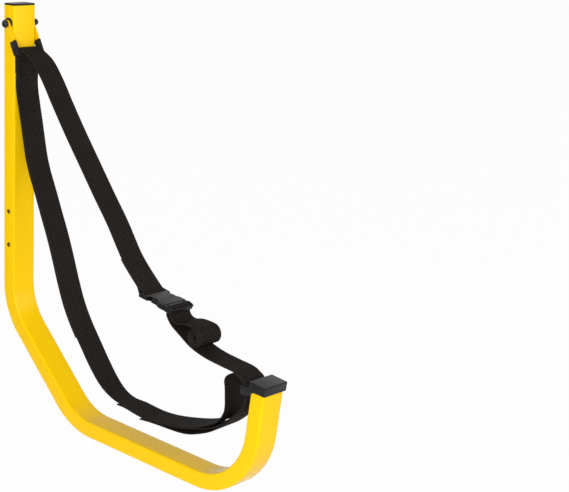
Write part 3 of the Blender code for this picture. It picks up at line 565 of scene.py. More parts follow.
def tubePath():
    corners = tubeCorners()
    points = [corners[0]]
    heading = 0
    for corner, turn in zip(corners[1:], tubeSize["turns"]):
        arriving, radius = toward(heading), tubeSize["bendRadius"]
        start = corner - arriving * radius * math.tan(math.radians(turn) / 2)
        steps = round(turn / tubeSize["bendStep"])
        for angle in np.radians(np.linspace(0, turn, steps + 1)):
            points.append(
                start + radius * (math.sin(angle) * arriving + (1 - math.cos(angle)) * leftOf(arriving))
            )
        heading += turn
    return points + [corners[-1]]


sideView = frameOf((0, 0, 0), (0, -1, 0), (-1, 0, 0))   # local x is out, local y is up
pivotPlace = Vector(joints["hanger_pivot"]["pos_m"])


def addTube():
    line = [(out, up, 0) for out, up in tubePath()]
    path = polyCurve("hook_tube_coated", [line], flat=False, cyclic=False)
    tube = grown(path, sectionTree(), {
        "Width": tubeSize["depth"], "Depth": tubeSize["width"], "Corner": tubeSize["corner"],
    })
    tube.data.transform(sideView)
    facingOut(tube.data)
    wall = tube.modifiers.new("wall", "SOLIDIFY")
    wall.thickness = tubeSize["wall"]
    wall.offset = -1
    # the inside and the cut rims take the second finish, unpainted steel made near-black as painted shade
    wall.material_offset = wall.material_offset_rim = 1
    tube = baked(tube)
    reach = tubeSize["width"]
    middle = tubeSize["depth"] / 2
    holes = [
        (tubeSize["holeRadius"], (middle, tubeSize["holeSpacing"] / 2)),
        (tubeSize["holeRadius"], (middle, -tubeSize["holeSpacing"] / 2)),
        (tubeSize["pivotHole"], (-pivotPlace.y, pivotPlace.z)),
    ]
    drills = [rod("drill", radius, -reach, reach, sideView, place) for radius, place in holes]
    tube = combined(tube, "DIFFERENCE", *drills)
    surface = []
    for face in tube.data.polygons:     # the holes' walls take the inside's finish: unpainted steel, made near-black as painted shade
        fromHole = min(
            math.hypot(face.center.y + out, face.center.z - up) - radius for radius, (out, up) in holes
        )
        drilled = abs(face.normal.x) < 0.5 and fromHole < tubeSize["holeMargin"]
        surface.append(1 if drilled else min(face.material_index, 1))
    handIn(tube, "root", "coat", "tube", "hook_tube")
    tube.data.materials.append(finishes["bareWithPaintedShade"])
    tube.data.polygons.foreach_set("material_index", surface)


addTube()
print("tube made")


# Plug in the tube's top
plugSize = {
    "flange": 0.0030,
    "round": 0.0009,
    "dome": 0.0007,
    "depth": 0.014,
    "lead": 0.001,      # slant at the plug's foot
    "seat": 0.0003,     # slant under the flange's edge
    "flat": 0.003,      # what the crown's slope leaves of half the depth
    "leastCorner": 0.0006,
    "gap": 0.0003,
}


def addPlug():
    width, depth, corner = tubeSize["width"], tubeSize["depth"], tubeSize["corner"]
    base = Matrix.Translation((0, -depth / 2, tubeTop + plugSize["gap"]))
    inset = tubeSize["wall"] + plugSize["gap"]
    lift = plugSize["flange"]
    foot, lead, seat, edge = -plugSize["depth"], plugSize["lead"], plugSize["seat"], plugSize["round"]
    crown = depth / 2 - plugSize["flat"]
    sizes = [(foot, -inset - lead), (foot + lead, -inset), (0, -inset), (0, -seat), (seat, 0)]
    for angle in np.radians(np.linspace(0, 75, 6)):
        sizes.append((lift - edge * (1 - math.sin(angle)), -edge * (1 - math.cos(angle))))
    for share in (0.25, 0.5, 0.75, 0.97):
        sizes.append((lift + plugSize["dome"] * math.sin(share * math.pi / 2), -edge - share * crown))
    rings = []
    for height, grow in sizes:
        radius = max(corner + grow, plugSize["leastCorner"])
        outline = roundBox(width + 2 * grow, depth + 2 * grow, radius)
        rings.append([(x, y, height) for x, y in outline])
    handIn(lofted("top_plug_domed", rings, base), "root", "smooth", "plug", "top_plug")


addPlug()
print("plug made")


# Hanger: local x runs down the ears, local z points to -X
hangerSize = {
    "earWidth": 0.013, "tang": 0.0105, "neckGap": 0.0005, "earSoft": 0.0006,
    "capStart": 0.0338, "capEnd": 0.0602, "capWall": 0.0010,
    "capRound": 0.0020, "capOver": 0.0009, "capSoft": 0.0008,
    "boltRadius": 0.003, "headRadius": 0.0074, "headHeight": 0.0087, "headTurn": 140,
    "nutRadius": 0.0062, "nutHeight": 0.0125, "nutLip": 0.0006, "nutDome": 0.8,
    "nutEnd": 0.0035,       # from the bolt's end to the nut's
    "bushFlange": 0.0105, "bushWall": 0.0012, "bushEdge": 0.0004,
    "barRadius": 0.003, "barSoft": 0.0005,
    "gap": 0.0003,
    "over": 0.01,           # how far a cut starts outside what it cuts
}
barPlace = sum(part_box("hanger_strap_bar"), Vector()) / 2
hangerView = frameOf(pivotPlace, barPlace - pivotPlace, (-1, 0, 0))
barAlong = (barPlace - pivotPlace).length


def heightsOf(node):  # where a node starts and ends along the hanger view's z
    low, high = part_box(node)
    return sorted((-low.x, -high.x))


def addPivot():
    size = hangerSize
    gap = size["gap"]
    base = heightsOf("hanger_ear_left")[1] + gap
    bulge = size["headHeight"] / 2
    knob = [
        (size["headRadius"] * math.sin(a), base + bulge * (1 + math.cos(a)))
        for a in np.radians(np.linspace(0, size["headTurn"], 22))
    ]
    shankEnd = -base - size["nutHeight"] + size["nutEnd"]
    bolt = turned("pivot_bolt_turned", [
        *knob, (knob[-1][0], base), (size["boltRadius"], base), (size["boltRadius"], shankEnd), (0, shankEnd),
    ], hangerView)
    handIn(bolt, "root", "blackSteel", "bolt", "pivot_bolt")
    bore, radius, lip = size["boltRadius"] + gap, size["nutRadius"], size["nutLip"]
    dome = [
        (radius * math.sin(a), -base - size["nutHeight"] + radius * size["nutDome"] * (1 - math.cos(a)))
        for a in np.radians(np.linspace(90, 0, 12))
    ]
    nut = turned("pivot_nut_turned", [
        (0, shankEnd - gap), (bore, shankEnd - gap), (bore, -base),
        (radius - lip, -base), (radius, -base - lip), *dome,
    ], hangerView)
    handIn(nut, "root", "blackSteel", "bolt", "pivot_nut")
    face = tubeSize["width"] / 2 + gap
    flange, sleeve, edge = size["bushFlange"], bore + size["bushWall"], size["bushEdge"]
    for side, sign in (("left", 1), ("right", -1)):
        inner, outer = sorted(map(abs, heightsOf(f"pivot_bush_{side}")))
        profile = [
            (bore, outer), (flange - edge, outer), (flange, outer - edge), (flange, face),
            (sleeve, face), (sleeve, inner), (bore, inner),
        ]
        profile = [(radius, sign * height) for radius, height in profile]
        ring = turned(f"pivot_bush_{side}_turned", profile, hangerView, closed=True)
        handIn(ring, "root", "nylon", "bush", f"pivot_bush_{side}")


def addHanger():
    size = hangerSize
    gap, over = size["gap"], size["over"]
    half, tang, neck = size["earWidth"] / 2, size["tang"] / 2, size["capStart"] - size["neckGap"]
    earEnd = size["capEnd"] - size["capWall"] - gap
    outline = [
        *arc((0, 0), half, 90, 270, 28), (neck, -half), (neck, -tang), (earEnd, -tang),
        (earEnd, tang), (neck, tang), (neck, half),
    ]
    holes = [
        arc((0, 0), size["boltRadius"] + gap, 0, 352, 44),
        arc((barAlong, 0), size["barRadius"] + gap, 0, 352, 44),
    ]
    length, middle = size["capEnd"] - size["capStart"], (size["capEnd"] + size["capStart"]) / 2
    block = roundBox(length, size["earWidth"] + 2 * size["capOver"], size["capRound"], 8, (middle, 0))
    for side, sign in (("left", 1), ("right", -1)):
        heights, capHeights = heightsOf(f"hanger_ear_{side}"), heightsOf(f"hanger_cap_{side}")
        ear = plate(f"hanger_ear_{side}_pressed", [outline, *holes], *heights, hangerView)
        handIn(softened(ear, size["earSoft"]), "hanger", "coat", "ear", f"hanger_ear_{side}")
        cap = plate(f"hanger_cap_{side}_moulded", [block], *capHeights, hangerView)
        cap = softened(cap, size["capSoft"])
        pocket = box(
            "pocket", (size["capStart"] - over, -tang - gap, heights[0] - gap),
            (earEnd + gap, tang + gap, heights[1] + gap), hangerView,
        )
        reach = sorted((sign * (min(map(abs, capHeights)) - over), sign * (sum(map(abs, heights)) / 2)))
        bore = rod("bore", size["barRadius"] + gap, *reach, hangerView, (barAlong, 0))
        cap = combined(cap, "DIFFERENCE", pocket, bore)
        handIn(cap, "hanger", "moulded", "plug", f"hanger_cap_{side}")
    ends = heightsOf("hanger_strap_bar")
    bar = rod("hanger_strap_bar_plated", size["barRadius"], *ends, hangerView, (barAlong, 0))
    handIn(softened(bar, size["barSoft"], 2), "hanger", "zinc", "bar", "hanger_strap_bar")


addPivot()
addHanger()
print("hanger made")


# Tip cap: local x is away from the wall, local y is up along the tube
tipSize = {
    "cover": 0.014, "wall": 0.0022, "plate": 0.0060, "webSide": 0.0006, "gap": 0.0003, "soft": 0.0011,
    "lip": 0.0004, "lipEdge": 0.0008, "lipFoot": 0.0006,
    "slot": 0.014, "slotEdge": 0.0005, "slotDrop": 0.002,
    "bar": 0.004, "barDrop": 0.0067, "barHeight": 0.014, "barRound": 0.002,
    "scoop": 0.004, "scoopDip": 0.001, "rearDrop": 0.006,
    "through": 0.06,
}


def addTipCap():
    size = tipSize
    end = tubeCorners()[-1]
    away = -leftOf(toward(sum(tubeSize["turns"])))
    tip = frameOf((0, -end[0], end[1]), (0, -away[0], away[1]), (-1, 0, 0))
    gap, lip, lipEdge, barRound = size["gap"], size["lip"], size["lipEdge"], size["barRound"]
    webHalf = tubeSize["width"] / 2 + size["webSide"]
    tubeHalf = tubeSize["width"] / 2 + gap
    half = webHalf + size["wall"]
    depth = tubeSize["depth"] / 2 + gap
    rear, front = -depth - size["wall"], depth + size["wall"]
    roof = gap + size["plate"]
    slotStart = rear - size["slot"]
    barStart, top = slotStart - size["bar"], -size["barDrop"]
    barFoot = top - size["barHeight"]
    skirt = -size["cover"]
    scoop = skirt + size["scoop"]
    outline = [
        (barStart, barFoot), (barStart, top - barRound),
        *arc((barStart + barRound, top - barRound), barRound, 180, 90, 5)[1:],
        (rear - size["slotEdge"], top), (rear - lip, roof - lipEdge), (rear - lip + lipEdge, roof),
        (front + lip - lipEdge, roof), (front + lip, roof - lipEdge),
        (front + lip * 0.5, gap + size["lipFoot"]), (front, gap), (front, scoop), (depth / 3, scoop),
        (-depth / 2, scoop - size["scoopDip"]), (rear, skirt - size["rearDrop"]),
        (slotStart, barFoot - size["slotDrop"]),
    ]
    cap = plate("tip_cap_moulded", [outline], -half, half, tip)
    cap = softened(cap, size["soft"], 4)
    through = size["through"]
    pocket = box("pocket", (-depth, -through, -tubeHalf), (depth, gap, tubeHalf), tip)
    slot = box("slot", (slotStart, -through, -webHalf), (rear, through, webHalf), tip)
    cap = combined(cap, "DIFFERENCE", pocket, slot)
    handIn(cap, "root", "moulded", "cap", "tip_cap")


addTipCap()
print("tip cap made")


# Straps: each follows its frame solid's edges, in fine rows from -X to +X
webbing = {
    "width": 0.050,
    "thickness": 0.0020,
    "edgeRound": 0.0009,
    "sink": 0.00003,        # how far the faces stay inside the solid's
    "crest": ((0.0022, 1.0), (0.0032, 0.93), (0.010, 0.95), (0.019, 0.96)),  # from the edge, share of top
    "step": 0.0016,
    "weld": 0.00002,
    "sharp": 50,            # degrees
}
buckleBar = Vector((0, -0.370105, -0.053567))          # the middle of the socket half's bar


def edgeLine(node, side):  # the middle of a strap solid's edge, from its higher end
    shape = bmesh.new()
    shape.from_mesh(frame["nodes"][node].data)
    bmesh.ops.remove_doubles(shape, verts=shape.verts, dist=webbing["weld"])
    place, margin = side * webbing["width"] / 2, webbing["thickness"] / 2
    wall = {face for face in shape.faces if all(abs(v.co.x - place) < margin for v in face.verts)}
    nextTo = {}
    for edge in shape.edges:
        if sum(face in wall for face in edge.link_faces) == 1:
            first, second = edge.verts
            nextTo.setdefault(first, []).append(second)
            nextTo.setdefault(second, []).append(first)
    here = next(iter(nextTo))
    loop, before = [], None
    while here is not None and len(loop) < len(nextTo):
        loop.append(tuple(here.co))
        onward = [vertex for vertex in nextTo[here] if vertex is not before]
        before, here = here, onward[0] if onward else None
    shape.free()
    loop = np.array(loop)
    count = len(loop) // 2

    def unevenness(turn):  # opposite points lie one thickness apart when the loop starts at an end
        rolled = np.roll(loop, -turn, axis=0)
        apart = np.linalg.norm(rolled[:count] - rolled[::-1][:count], axis=1)
        return np.abs(apart - webbing["thickness"]).sum()

    rolled = np.roll(loop, -min(range(count), key=unevenness), axis=0)
    middle = (rolled[:count] + rolled[::-1][:count]) / 2
    return middle if middle[0][2] > middle[-1][2] else middle[::-1]


def evenRows(rows, step):  # a smooth curve through rows of numbers, read at even steps of its middle line
    middle = (rows[:, :3] + rows[:, 3:]) / 2
    gaps = np.linalg.norm(np.diff(middle, axis=0), axis=1)
    keep = np.r_[True, gaps > step / 8]
    rows, gaps = rows[keep], gaps[keep[1:]]
    marks = np.r_[0, np.cumsum(gaps)]
    slopes = np.gradient(rows, marks, axis=0)
    fine = np.linspace(0, marks[-1], round(marks[-1] / step) + 1)
    k = np.clip(np.searchsorted(marks, fine, side="right") - 1, 0, len(gaps) - 1)
    gap = gaps[k][:, None]
    t = ((fine - marks[k]) / gaps[k])[:, None]
    return (
        (2 * t**3 - 3 * t**2 + 1) * rows[k] + (t**3 - 2 * t**2 + t) * gap * slopes[k]
        + (3 * t**2 - 2 * t**3) * rows[k + 1] + (t**3 - t**2) * gap * slopes[k + 1]
    )


class Strap:
    def __init__(self, *nodes):
        self.nodes = nodes
        parts = [np.hstack([edgeLine(node, -1), edgeLine(node, 1)]) for node in nodes]
        rows = evenRows(np.vstack(parts), webbing["step"])
        left, right = rows[:, :3], rows[:, 3:]
        self.middle = (left + right) / 2
        self.across = (right - left) / np.linalg.norm(right - left, axis=1)[:, None]
        tangent = np.gradient(self.middle, axis=0)
        self.normal = np.cross(tangent, self.across)
        self.normal /= np.linalg.norm(self.normal, axis=1)[:, None]
        self.marks = np.r_[0, np.cumsum(np.linalg.norm(np.diff(self.middle, axis=0), axis=1))]
        self.length = self.marks[-1]

    def nearest(self, y, z):  # how far along the strap passes nearest to a place
        return self.marks[np.hypot(self.middle[:, 1] - y, self.middle[:, 2] - z).argmin()]

    def place(self, along, across, lift):  # a point on the strap, lifted off its middle
        def read(values):
            return np.array([np.interp(along, self.marks, values[:, k]) for k in range(3)])

        return read(self.middle) + across * read(self.across) + lift * read(self.normal)


def webSection():  # (across, lift) round the webbing, from the left edge over the top
    half, top = webbing["width"] / 2, webbing["thickness"] / 2 - webbing["sink"]
    edge = webbing["edgeRound"]
    crest = [(-half + edge * (1 - math.cos(a)), top * math.sin(a)) for a in np.radians((12, 36, 60, 84))]
    crest += [(-half + s, top * share) for s, share in webbing["crest"]]
    over = crest + [(-s, h) for s, h in reversed(crest)]
    return over + [(s, -h) for s, h in reversed(over)]


def webRibbon(name, strap):
    section = webSection()
    count, around = len(strap.middle), len(section)
    spots = np.concatenate([
        (strap.middle + s * strap.across + h * strap.normal)[:, None] for s, h in section
    ], axis=1).reshape(-1, 3)
    faces = []
    for row in range(count - 1):
        for k in range(around):
            a, b = row * around + k, row * around + (k + 1) % around
            faces.append((a, b, b + around, a + around))
    half = around // 2
    for row, order in ((0, 1), (count - 1, -1)):
        start = row * around
        for k in range(half - 1):
            faces.append((start + k, start + around - 1 - k, start + around - 2 - k, start + k + 1)[::order])
    mesh = bpy.data.meshes.new(name)
    mesh.from_pydata(spots.tolist(), [], faces)
    layer = mesh.uv_layers.new(name="strap")
    corner = np.zeros(len(mesh.loops), int)
    mesh.loops.foreach_get("vertex_index", corner)
    uv = np.column_stack([np.array(section)[corner % around][:, 0], strap.marks[corner // around]])
    layer.data.foreach_set("uv", uv.astype(np.float32).ravel())
    piece = linked(name, mesh)
    facingOut(mesh)
    return piece


def strapPiece(name, strap):
    piece = webRibbon(name, strap)
    piece.data.materials.append(finishes["webbing"])
    piece.data.shade_smooth()
    piece.data.set_sharp_from_angle(angle=math.radians(webbing["sharp"]))
    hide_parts(*strap.nodes)
    return piece


slingStrap = Strap("sling_strap_upper", "sling_strap_lower")
upperStrap = Strap("safety_strap_upper")
lowerStrap = Strap("safety_strap_lower")
tailStrap = Strap("strap_tail_roll")
sling = strapPiece("sling_webbing", slingStrap)
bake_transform(sling)
safetyUpper = strapPiece("safety_webbing_upper", upperStrap)
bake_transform(safetyUpper)
safetyLower = strapPiece("safety_webbing_lower", lowerStrap)
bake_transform(safetyLower)
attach(strapPiece("tail_webbing", tailStrap), "buckle_lock")
lengths = [strap.length for strap in (slingStrap, upperStrap, lowerStrap, tailStrap)]
print("straps made, in metres:", ", ".join(f"{length:.3f}" for length in lengths))


# Seams: each is a list of (along, across, side of the strap)
stitch = {"Pitch": 0.0034, "Length": 0.0029, "Radius": 0.00034}
stitching = {
    "lift": 0.00118, "boxInset": 0.0055, "barInset": 0.003,
    "slingBox": (0.026, 0.060), "slingBars": (0.022, 0.064),            # on from the hanger's bar
    "endBox": (-0.040, -0.008),                                         # back from the sling's end
    "buckleBox": (-0.055, -0.028), "buckleBars": (-0.019, -0.023),      # back from the socket half's bar
    "safetyBars": (0.024,),                                             # on from the hanger's bar
}
seamTree = stitchTree()


def boxSeam(kind, origin, side=1):  # a box with a cross in it
    half = webbing["width"] / 2 - stitching["boxInset"]
    start, end = (origin + mark for mark in stitching[kind])
    corners = [(start, -half), (start, half), (end, half), (end, -half), (start, -half)]
    cross = [[(start, -half), (end, half)], [(start, half), (end, -half)]]
    return [[(a, x, side) for a, x in line] for line in [corners, *cross]]


def barSeams(kind, origin):  # single rows across the strap's upper side
    half = webbing["width"] / 2 - stitching["barInset"]
    return [[(origin + mark, -half, 1), (origin + mark, half, 1)] for mark in stitching[kind]]


def addSeams(name, strap, seams, bends=False):
    lines = []
    for seam in seams:
        points = []
        for (a, x, side), (b, y, _) in zip(seam, seam[1:]):
            steps = max(2, round(math.hypot(b - a, y - x) / webbing["step"]))
            for t in np.linspace(0, 1, steps, endpoint=False):
                points.append(strap.place(a + t * (b - a), x + t * (y - x), side * stitching["lift"]))
        lines.append(points)
    thread = grown(polyCurve(name, lines, flat=False, cyclic=False), seamTree, stitch)
    thread.data.shade_smooth()
    if bends:
        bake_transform(thread)
    else:
        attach(thread, "root")


atBar = slingStrap.nearest(barPlace.y, barPlace.z)
seams = [*boxSeam("slingBox", atBar), *barSeams("slingBars", atBar)]
addSeams("sling_seams_upper", slingStrap, seams, bends=True)
seams = [*boxSeam("endBox", slingStrap.length, side=-1), *boxSeam("endBox", slingStrap.length)]
addSeams("sling_seams_end", slingStrap, seams)
atBuckle = upperStrap.nearest(buckleBar.y, buckleBar.z)
seams = [*barSeams("buckleBars", atBuckle), *boxSeam("buckleBox", atBuckle)]
addSeams("safety_seams_buckle", upperStrap, seams)
atBar = upperStrap.nearest(barPlace.y, barPlace.z)
addSeams("safety_seams_upper", upperStrap, barSeams("safetyBars", atBar), bends=True)
print("seams made")


# Buckle: local x runs from the socket half's bar to the plug half, local y is +X, local z is up
buckleSize = {
    "thickness": 0.0115, "thinEnd": 0.0088, "rise": 0.026,
    "crown": 0.0009, "corner": 0.0023, "endRound": 0.0011,
    "half": 0.029, "waist": 0.0253, "waistAt": 0.0335, "waistRun": 0.0165, "mouthHalf": 0.0285,
    "start": 0.0112, "mouth": 0.057, "floor": 0.0155, "cavity": 0.0080, "wall": 0.0022,
    "rail": 0.0075, "railRound": 0.0028, "railSoft": 0.0014, "railLap": 0.003,
    "barRadius": 0.003, "barWall": 0.001, "letIn": 0.002, "webSide": 0.0006, "webEnd": 0.0003,
    "window": (0.0165, 0.0400), "windowDepth": 0.0080, "windowRound": 0.0050,
    "through": 0.02,        # how far a cut passes what it cuts
    "sharp": 28,            # degrees
}
lockSize = {
    "start": 0.0575, "length": 0.0180, "thickness": 0.010,
    "narrower": 0.001, "corner": 0.0024, "soft": 0.0017,
    "barRadius": 0.0025, "barAt": 0.0680, "barAbove": 0.003,
    "slot": 0.003, "stepDown": 0.0018, "stepIn": 0.001, "stepPast": 0.01,
    "frontRadius": 0.0018, "frontAt": 0.0750, "frontAbove": 0.0014, "frontSoft": 0.0005,
    "tongueHalf": 0.007, "tongue": 0.005, "tongueLength": 0.033, "tongueLap": 0.003, "tongueSoft": 0.0008,
    "rootIn": 0.0025, "rootAcross": 0.019, "notch": 0.0021,
}
prongSize = {
    "thickness": 0.0066, "half": 0.0016, "pad": 0.0070, "soft": 0.0007,
    "arm": (    # the left arm's outline past its root, with its pad outwards
        (-0.014, 0.0042), (-0.0165, 0.0064), (-0.019, 0.0070), (-0.033, 0.0070), (-0.0362, 0.0052),
        (-0.037, 0.0025), (-0.0345, 0.0024), (-0.019, 0.0016), (-0.014, 0.0008),
    ),
    "ribs": 5, "ribPitch": 0.0024, "ribSize": (0.0009, 0.0009, 0.0050), "ribRound": 0.0004, "ribsAt": -0.026,
}
buckleAlong = Vector(joints["buckle_release"]["axis"])
buckleView = frameOf(buckleBar, buckleAlong, Vector((1, 0, 0)).cross(-buckleAlong))
slotHalf = webbing["width"] / 2 + buckleSize["webSide"]
through = buckleSize["through"]


def crossBar(name, radius, along=0.0, up=0.0):  # let a little into the buckle's sides
    reach = slotHalf + buckleSize["letIn"]
    sideways = buckleView @ Matrix.Translation((along, 0, up)) @ Matrix.Rotation(math.pi / 2, 4, "X")
    return rod(name, radius, -reach, reach, sideways)


def cushion(length, width, height, around, even=0.7, least=0.0002):  # a bar's rings, rounded at its ends
    rings = []
    for t in np.linspace(-1, 1, 11):
        pastEven = max(0.0, abs(t) - even) / (1 - even)
        shrink = around * (1 - math.sqrt(max(0.0, 1 - pastEven ** 2)))
        outline = roundBox(width - 2 * shrink, height - 2 * shrink, max(around - shrink, least), 4)
        rings.append([(t * length / 2, y, z) for y, z in outline])
    return rings


def ribTree():  # the given bar repeated in a row
    tree, maker, given = newTree("moulded_ribs", {"Count": "Int", "Pitch": "Vector", "Start": "Vector"})
    row = maker.node("GeometryNodeMeshLine", {"mode": "OFFSET"}, {
        "Count": given["Count"], "Start Location": given["Start"], "Offset": given["Pitch"],
    })
    placed = maker.node("GeometryNodeInstanceOnPoints", {}, {"Points": row, "Instance": given["Geometry"]})
    closeTree(maker, placed, finishes["smooth"])
    return tree


def addFemale():
    size = buckleSize
    rings = []
    for x in np.linspace(size["start"], size["mouth"], 40):
        fromWaist = min(abs(x - size["waistAt"]) / size["waistRun"], 1)
        end = size["half"] if x < size["waistAt"] else size["mouthHalf"]
        half = size["waist"] + (end - size["waist"]) * (1 - math.cos(math.pi * fromWaist)) / 2
        rise = min((x - size["start"]) / size["rise"], 1)
        thick = size["thinEnd"] + (size["thickness"] - size["thinEnd"]) * math.sin(rise * math.pi / 2)
        fromEnd, edge = min(x - size["start"], size["mouth"] - x), size["endRound"]
        inset = edge * (1 - math.sqrt(1 - max(0.0, 1 - fromEnd / edge) ** 2))
        outline = roundBox(2 * (half - inset), thick - 2 * inset, size["corner"])
        crown = [size["crown"] * (abs(y) / size["half"]) ** 2.5 * (1 if z > 0 else -1) for y, z in outline]
        rings.append([(x, y, z - drop) for (y, z), drop in zip(outline, crown)])
    thinFace = [(size["start"] - 0.0001, y * 0.96, z * 0.86) for _, y, z in rings[0]]
    rings.insert(0, thinFace)
    body = lofted("buckle_female_moulded", rings, buckleView)
    rail = size["rail"] / 2
    low, high = -size["barRadius"] - size["barWall"], size["start"] + size["railLap"]
    frameOutline = roundBox(high - low, 2 * size["half"], size["railRound"], 7, ((high + low) / 2, 0))
    rails = softened(plate("rails", [frameOutline], -rail, rail, buckleView), size["railSoft"], 4)
    slotEnd = size["start"] - size["webEnd"]
    slot = box("slot", (-through, -slotHalf, -through), (slotEnd, slotHalf, through), buckleView)
    inner, room = size["mouthHalf"] - size["wall"], size["cavity"] / 2
    cavity = box("cavity", (size["floor"], -inner, -room), (size["mouth"] + through, inner, room), buckleView)
    body = combined(body, "UNION", rails)
    start, end = size["window"]
    windows = []
    for y in (-size["half"], size["half"]):
        middle = ((start + end) / 2, y)
        outline = roundBox(end - start, 2 * size["windowDepth"], size["windowRound"], 8, middle)
        windows.append(plate("window", [outline], -through, through, buckleView))
    body = combined(body, "DIFFERENCE", slot, cavity, *windows)
    body = combined(body, "UNION", crossBar("bar", size["barRadius"]))
    handIn(body, "root", "smooth", "buckle", "buckle_female", sharp=size["sharp"])


def addMale():
    size = lockSize
    middle, half = size["start"] + size["length"] / 2, size["thickness"] / 2
    width = 2 * buckleSize["mouthHalf"] - size["narrower"]
    outline = roundBox(size["length"], width, size["corner"], 7, (middle, 0))
    male = softened(plate("buckle_male_moulded", [outline], -half, half, buckleView), size["soft"], 4)
    room = size["barRadius"] + size["slot"]
    windowStart, windowEnd = size["barAt"] - room, size["barAt"] + room
    end = size["start"] + size["length"] + size["stepPast"]
    window = box("window", (windowStart, -slotHalf, -through), (windowEnd, slotHalf, through), buckleView)
    stepStart = windowStart + size["stepIn"]
    step = box("step", (stepStart, -slotHalf, size["stepDown"]), (end, slotHalf, through), buckleView)
    root, reach, back = size["start"] + size["rootIn"], size["notch"], size["start"] - through
    notches = []
    for y in (-size["rootAcross"], size["rootAcross"]):
        stadium = [*arc((root, y), reach, -90, 90, 12), (back, y + reach), (back, y - reach)]
        notches.append(plate("notch", [stadium], -through, through, buckleView))
    male = combined(male, "DIFFERENCE", window, step)
    bar = crossBar("bar", size["barRadius"], size["barAt"], size["barAbove"])
    tongue = box(
        "tongue", (size["start"] - size["tongueLength"], -size["tongueHalf"], -size["tongue"] / 2),
        (size["start"] + size["tongueLap"], size["tongueHalf"], size["tongue"] / 2), buckleView,
    )
    frontBar = crossBar("front_bar", size["frontRadius"], size["frontAt"], size["frontAbove"])
    frontBar = softened(frontBar, size["frontSoft"], 2)
    male = combined(male, "UNION", bar, frontBar, softened(tongue, size["tongueSoft"], 2))
    male = combined(male, "DIFFERENCE", *notches)
    handIn(male, "buckle_lock", "smooth", "buckle", "buckle_male", sharp=buckleSize["sharp"])


def addProngs():
    size = prongSize
    tree = ribTree()
    for side, sign in (("left", -1), ("right", 1)):
        root = (lockSize["start"] + lockSize["rootIn"], sign * lockSize["rootAcross"], 0)
        seat = buckleView @ Matrix.Translation(root)
        outline = [(x, sign * y) for x, y in (*arc((0, 0), size["half"], -90, 90, 12), *size["arm"])]
        prong = plate(
            f"buckle_prong_{side}_moulded", [outline], -size["thickness"] / 2, size["thickness"] / 2, seat
        )
        prong = softened(prong, size["soft"])
        handIn(prong, f"latch_{side}", "smooth", "buckle", f"buckle_prong_{side}", sharp=buckleSize["sharp"])
        count, pitch = size["ribs"], size["ribPitch"]
        bar = cushion(*size["ribSize"], size["ribRound"])
        row = grown(lofted(f"buckle_prong_{side}_ribs", bar, Matrix.Identity(4)), tree, {
            "Count": count, "Pitch": (pitch, 0, 0),
            "Start": (size["ribsAt"] - pitch * (count - 1) / 2, sign * size["pad"], 0),
        })
        row.data.transform(seat)
        handIn(row, f"latch_{side}", "smooth", "buckle")


addFemale()
addMale()
addProngs()
print("buckle made")


# Stage and light
stage = {
    "floorDrop": 0.25,
    "floorSize": 40.0,
    "shadow": 0.03,
    "mirrorDim": 0.15,      # the floor's glow in mirrors, far in front of the hook and far left of it
    "mirrorSlope": 1.2,
    "mirrorFront": 2.2,
    "mirrorSide": 1.6,
}
lamps = {
    "key": {"place": (-3.0, -2.6, 1.1), "size": 2.4, "power": 126},
    "fill": {"place": (1.8, -3.4, 0.9), "size": 2.6, "power": 34},
    "top": {"place": (-0.6, -0.4, 3.2), "size": 2.2, "power": 5},
}
lampAim = Vector((0, -0.3, 0))
worldLight = {"fill": 0.32, "dark": 0.12, "slope": 2.5, "middle": 0.6}     # in mirrors, dark in front


def seenDirectly(maker):  # 1 or 0 for the camera's rays, for mirrors' and for those through clear glass
    path = maker.tree.nodes.new("ShaderNodeLightPath")
    return [Wire(maker, path.outputs[f"Is {kind} Ray"]) for kind in ("Camera", "Glossy", "Transmission")]


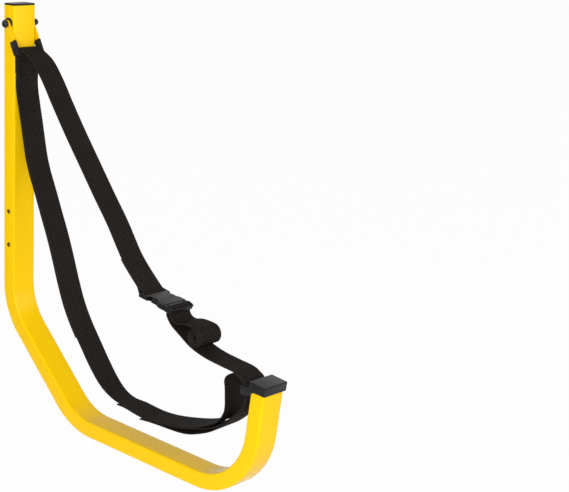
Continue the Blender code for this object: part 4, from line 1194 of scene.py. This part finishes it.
def addStage():
    shape = bmesh.new()
    bmesh.ops.create_grid(shape, x_segments=1, y_segments=1, size=stage["floorSize"] / 2)
    floor = fromBmesh("floor", shape, Matrix.Translation((0, 0, cadLow.z - stage["floorDrop"])))
    material, maker = newMaterial("pale_floor")
    camera, glossy, clear = seenDirectly(maker)
    matt = maker.node("ShaderNodeBsdfDiffuse", {}, {"Color": (0.9, 0.9, 0.9, 1)})
    place = maker.place()
    inFront = maker.part(place, "Y") * stage["mirrorSlope"] + stage["mirrorFront"]
    beside = maker.part(place, "X") * stage["mirrorSlope"] + stage["mirrorSide"]
    dim = inFront.apply("MINIMUM", beside).apply("MINIMUM", 1.0).apply("MAXIMUM", stage["mirrorDim"])
    strength = dim * glossy + (1 - glossy)
    glow = maker.node("ShaderNodeEmission", {}, {"Color": (1, 1, 1, 1), "Strength": strength})
    shown = (camera + glossy + clear).apply("MINIMUM", 1.0) * (1 - stage["shadow"])
    finishMaterial(maker, maker.joined(matt, glow, factor=shown))
    floor.data.materials.append(material)


def addWorld():
    world = bpy.data.worlds.new("studio")
    world.use_nodes = True
    world.node_tree.nodes.clear()
    bpy.context.scene.world = world
    maker = NodeMaker(world.node_tree)
    camera, glossy, clear = seenDirectly(maker)
    depth = maker.part(maker.node("ShaderNodeTexCoord", output="Generated"), "Y")
    behind = (depth * worldLight["slope"] + worldLight["middle"]).apply("MINIMUM", 1.0)
    behind = behind.apply("MAXIMUM", worldLight["dark"])
    fill, mirrored, white = (
        maker.node("ShaderNodeBackground", {}, {"Color": (1, 1, 1, 1), "Strength": strength})
        for strength in (worldLight["fill"], behind, 1.0)
    )
    lit = maker.joined(fill, mirrored, factor=glossy)
    shader = maker.joined(lit, white, factor=(camera + clear).apply("MINIMUM", 1.0))
    finishMaterial(maker, shader, "ShaderNodeOutputWorld")


def addLamps():
    for name, lamp in lamps.items():
        data = bpy.data.lights.new(name, "AREA")
        data.shape = "DISK"
        data.size = lamp["size"]
        data.energy = lamp["power"]
        light = linked(name, data)
        light.location = lamp["place"]
        light.rotation_euler = (light.location - lampAim).to_track_quat("Z", "Y").to_euler()


addStage()
addWorld()
addLamps()
bpy.context.scene.view_settings.view_transform = "Standard"
print("stage and light set")
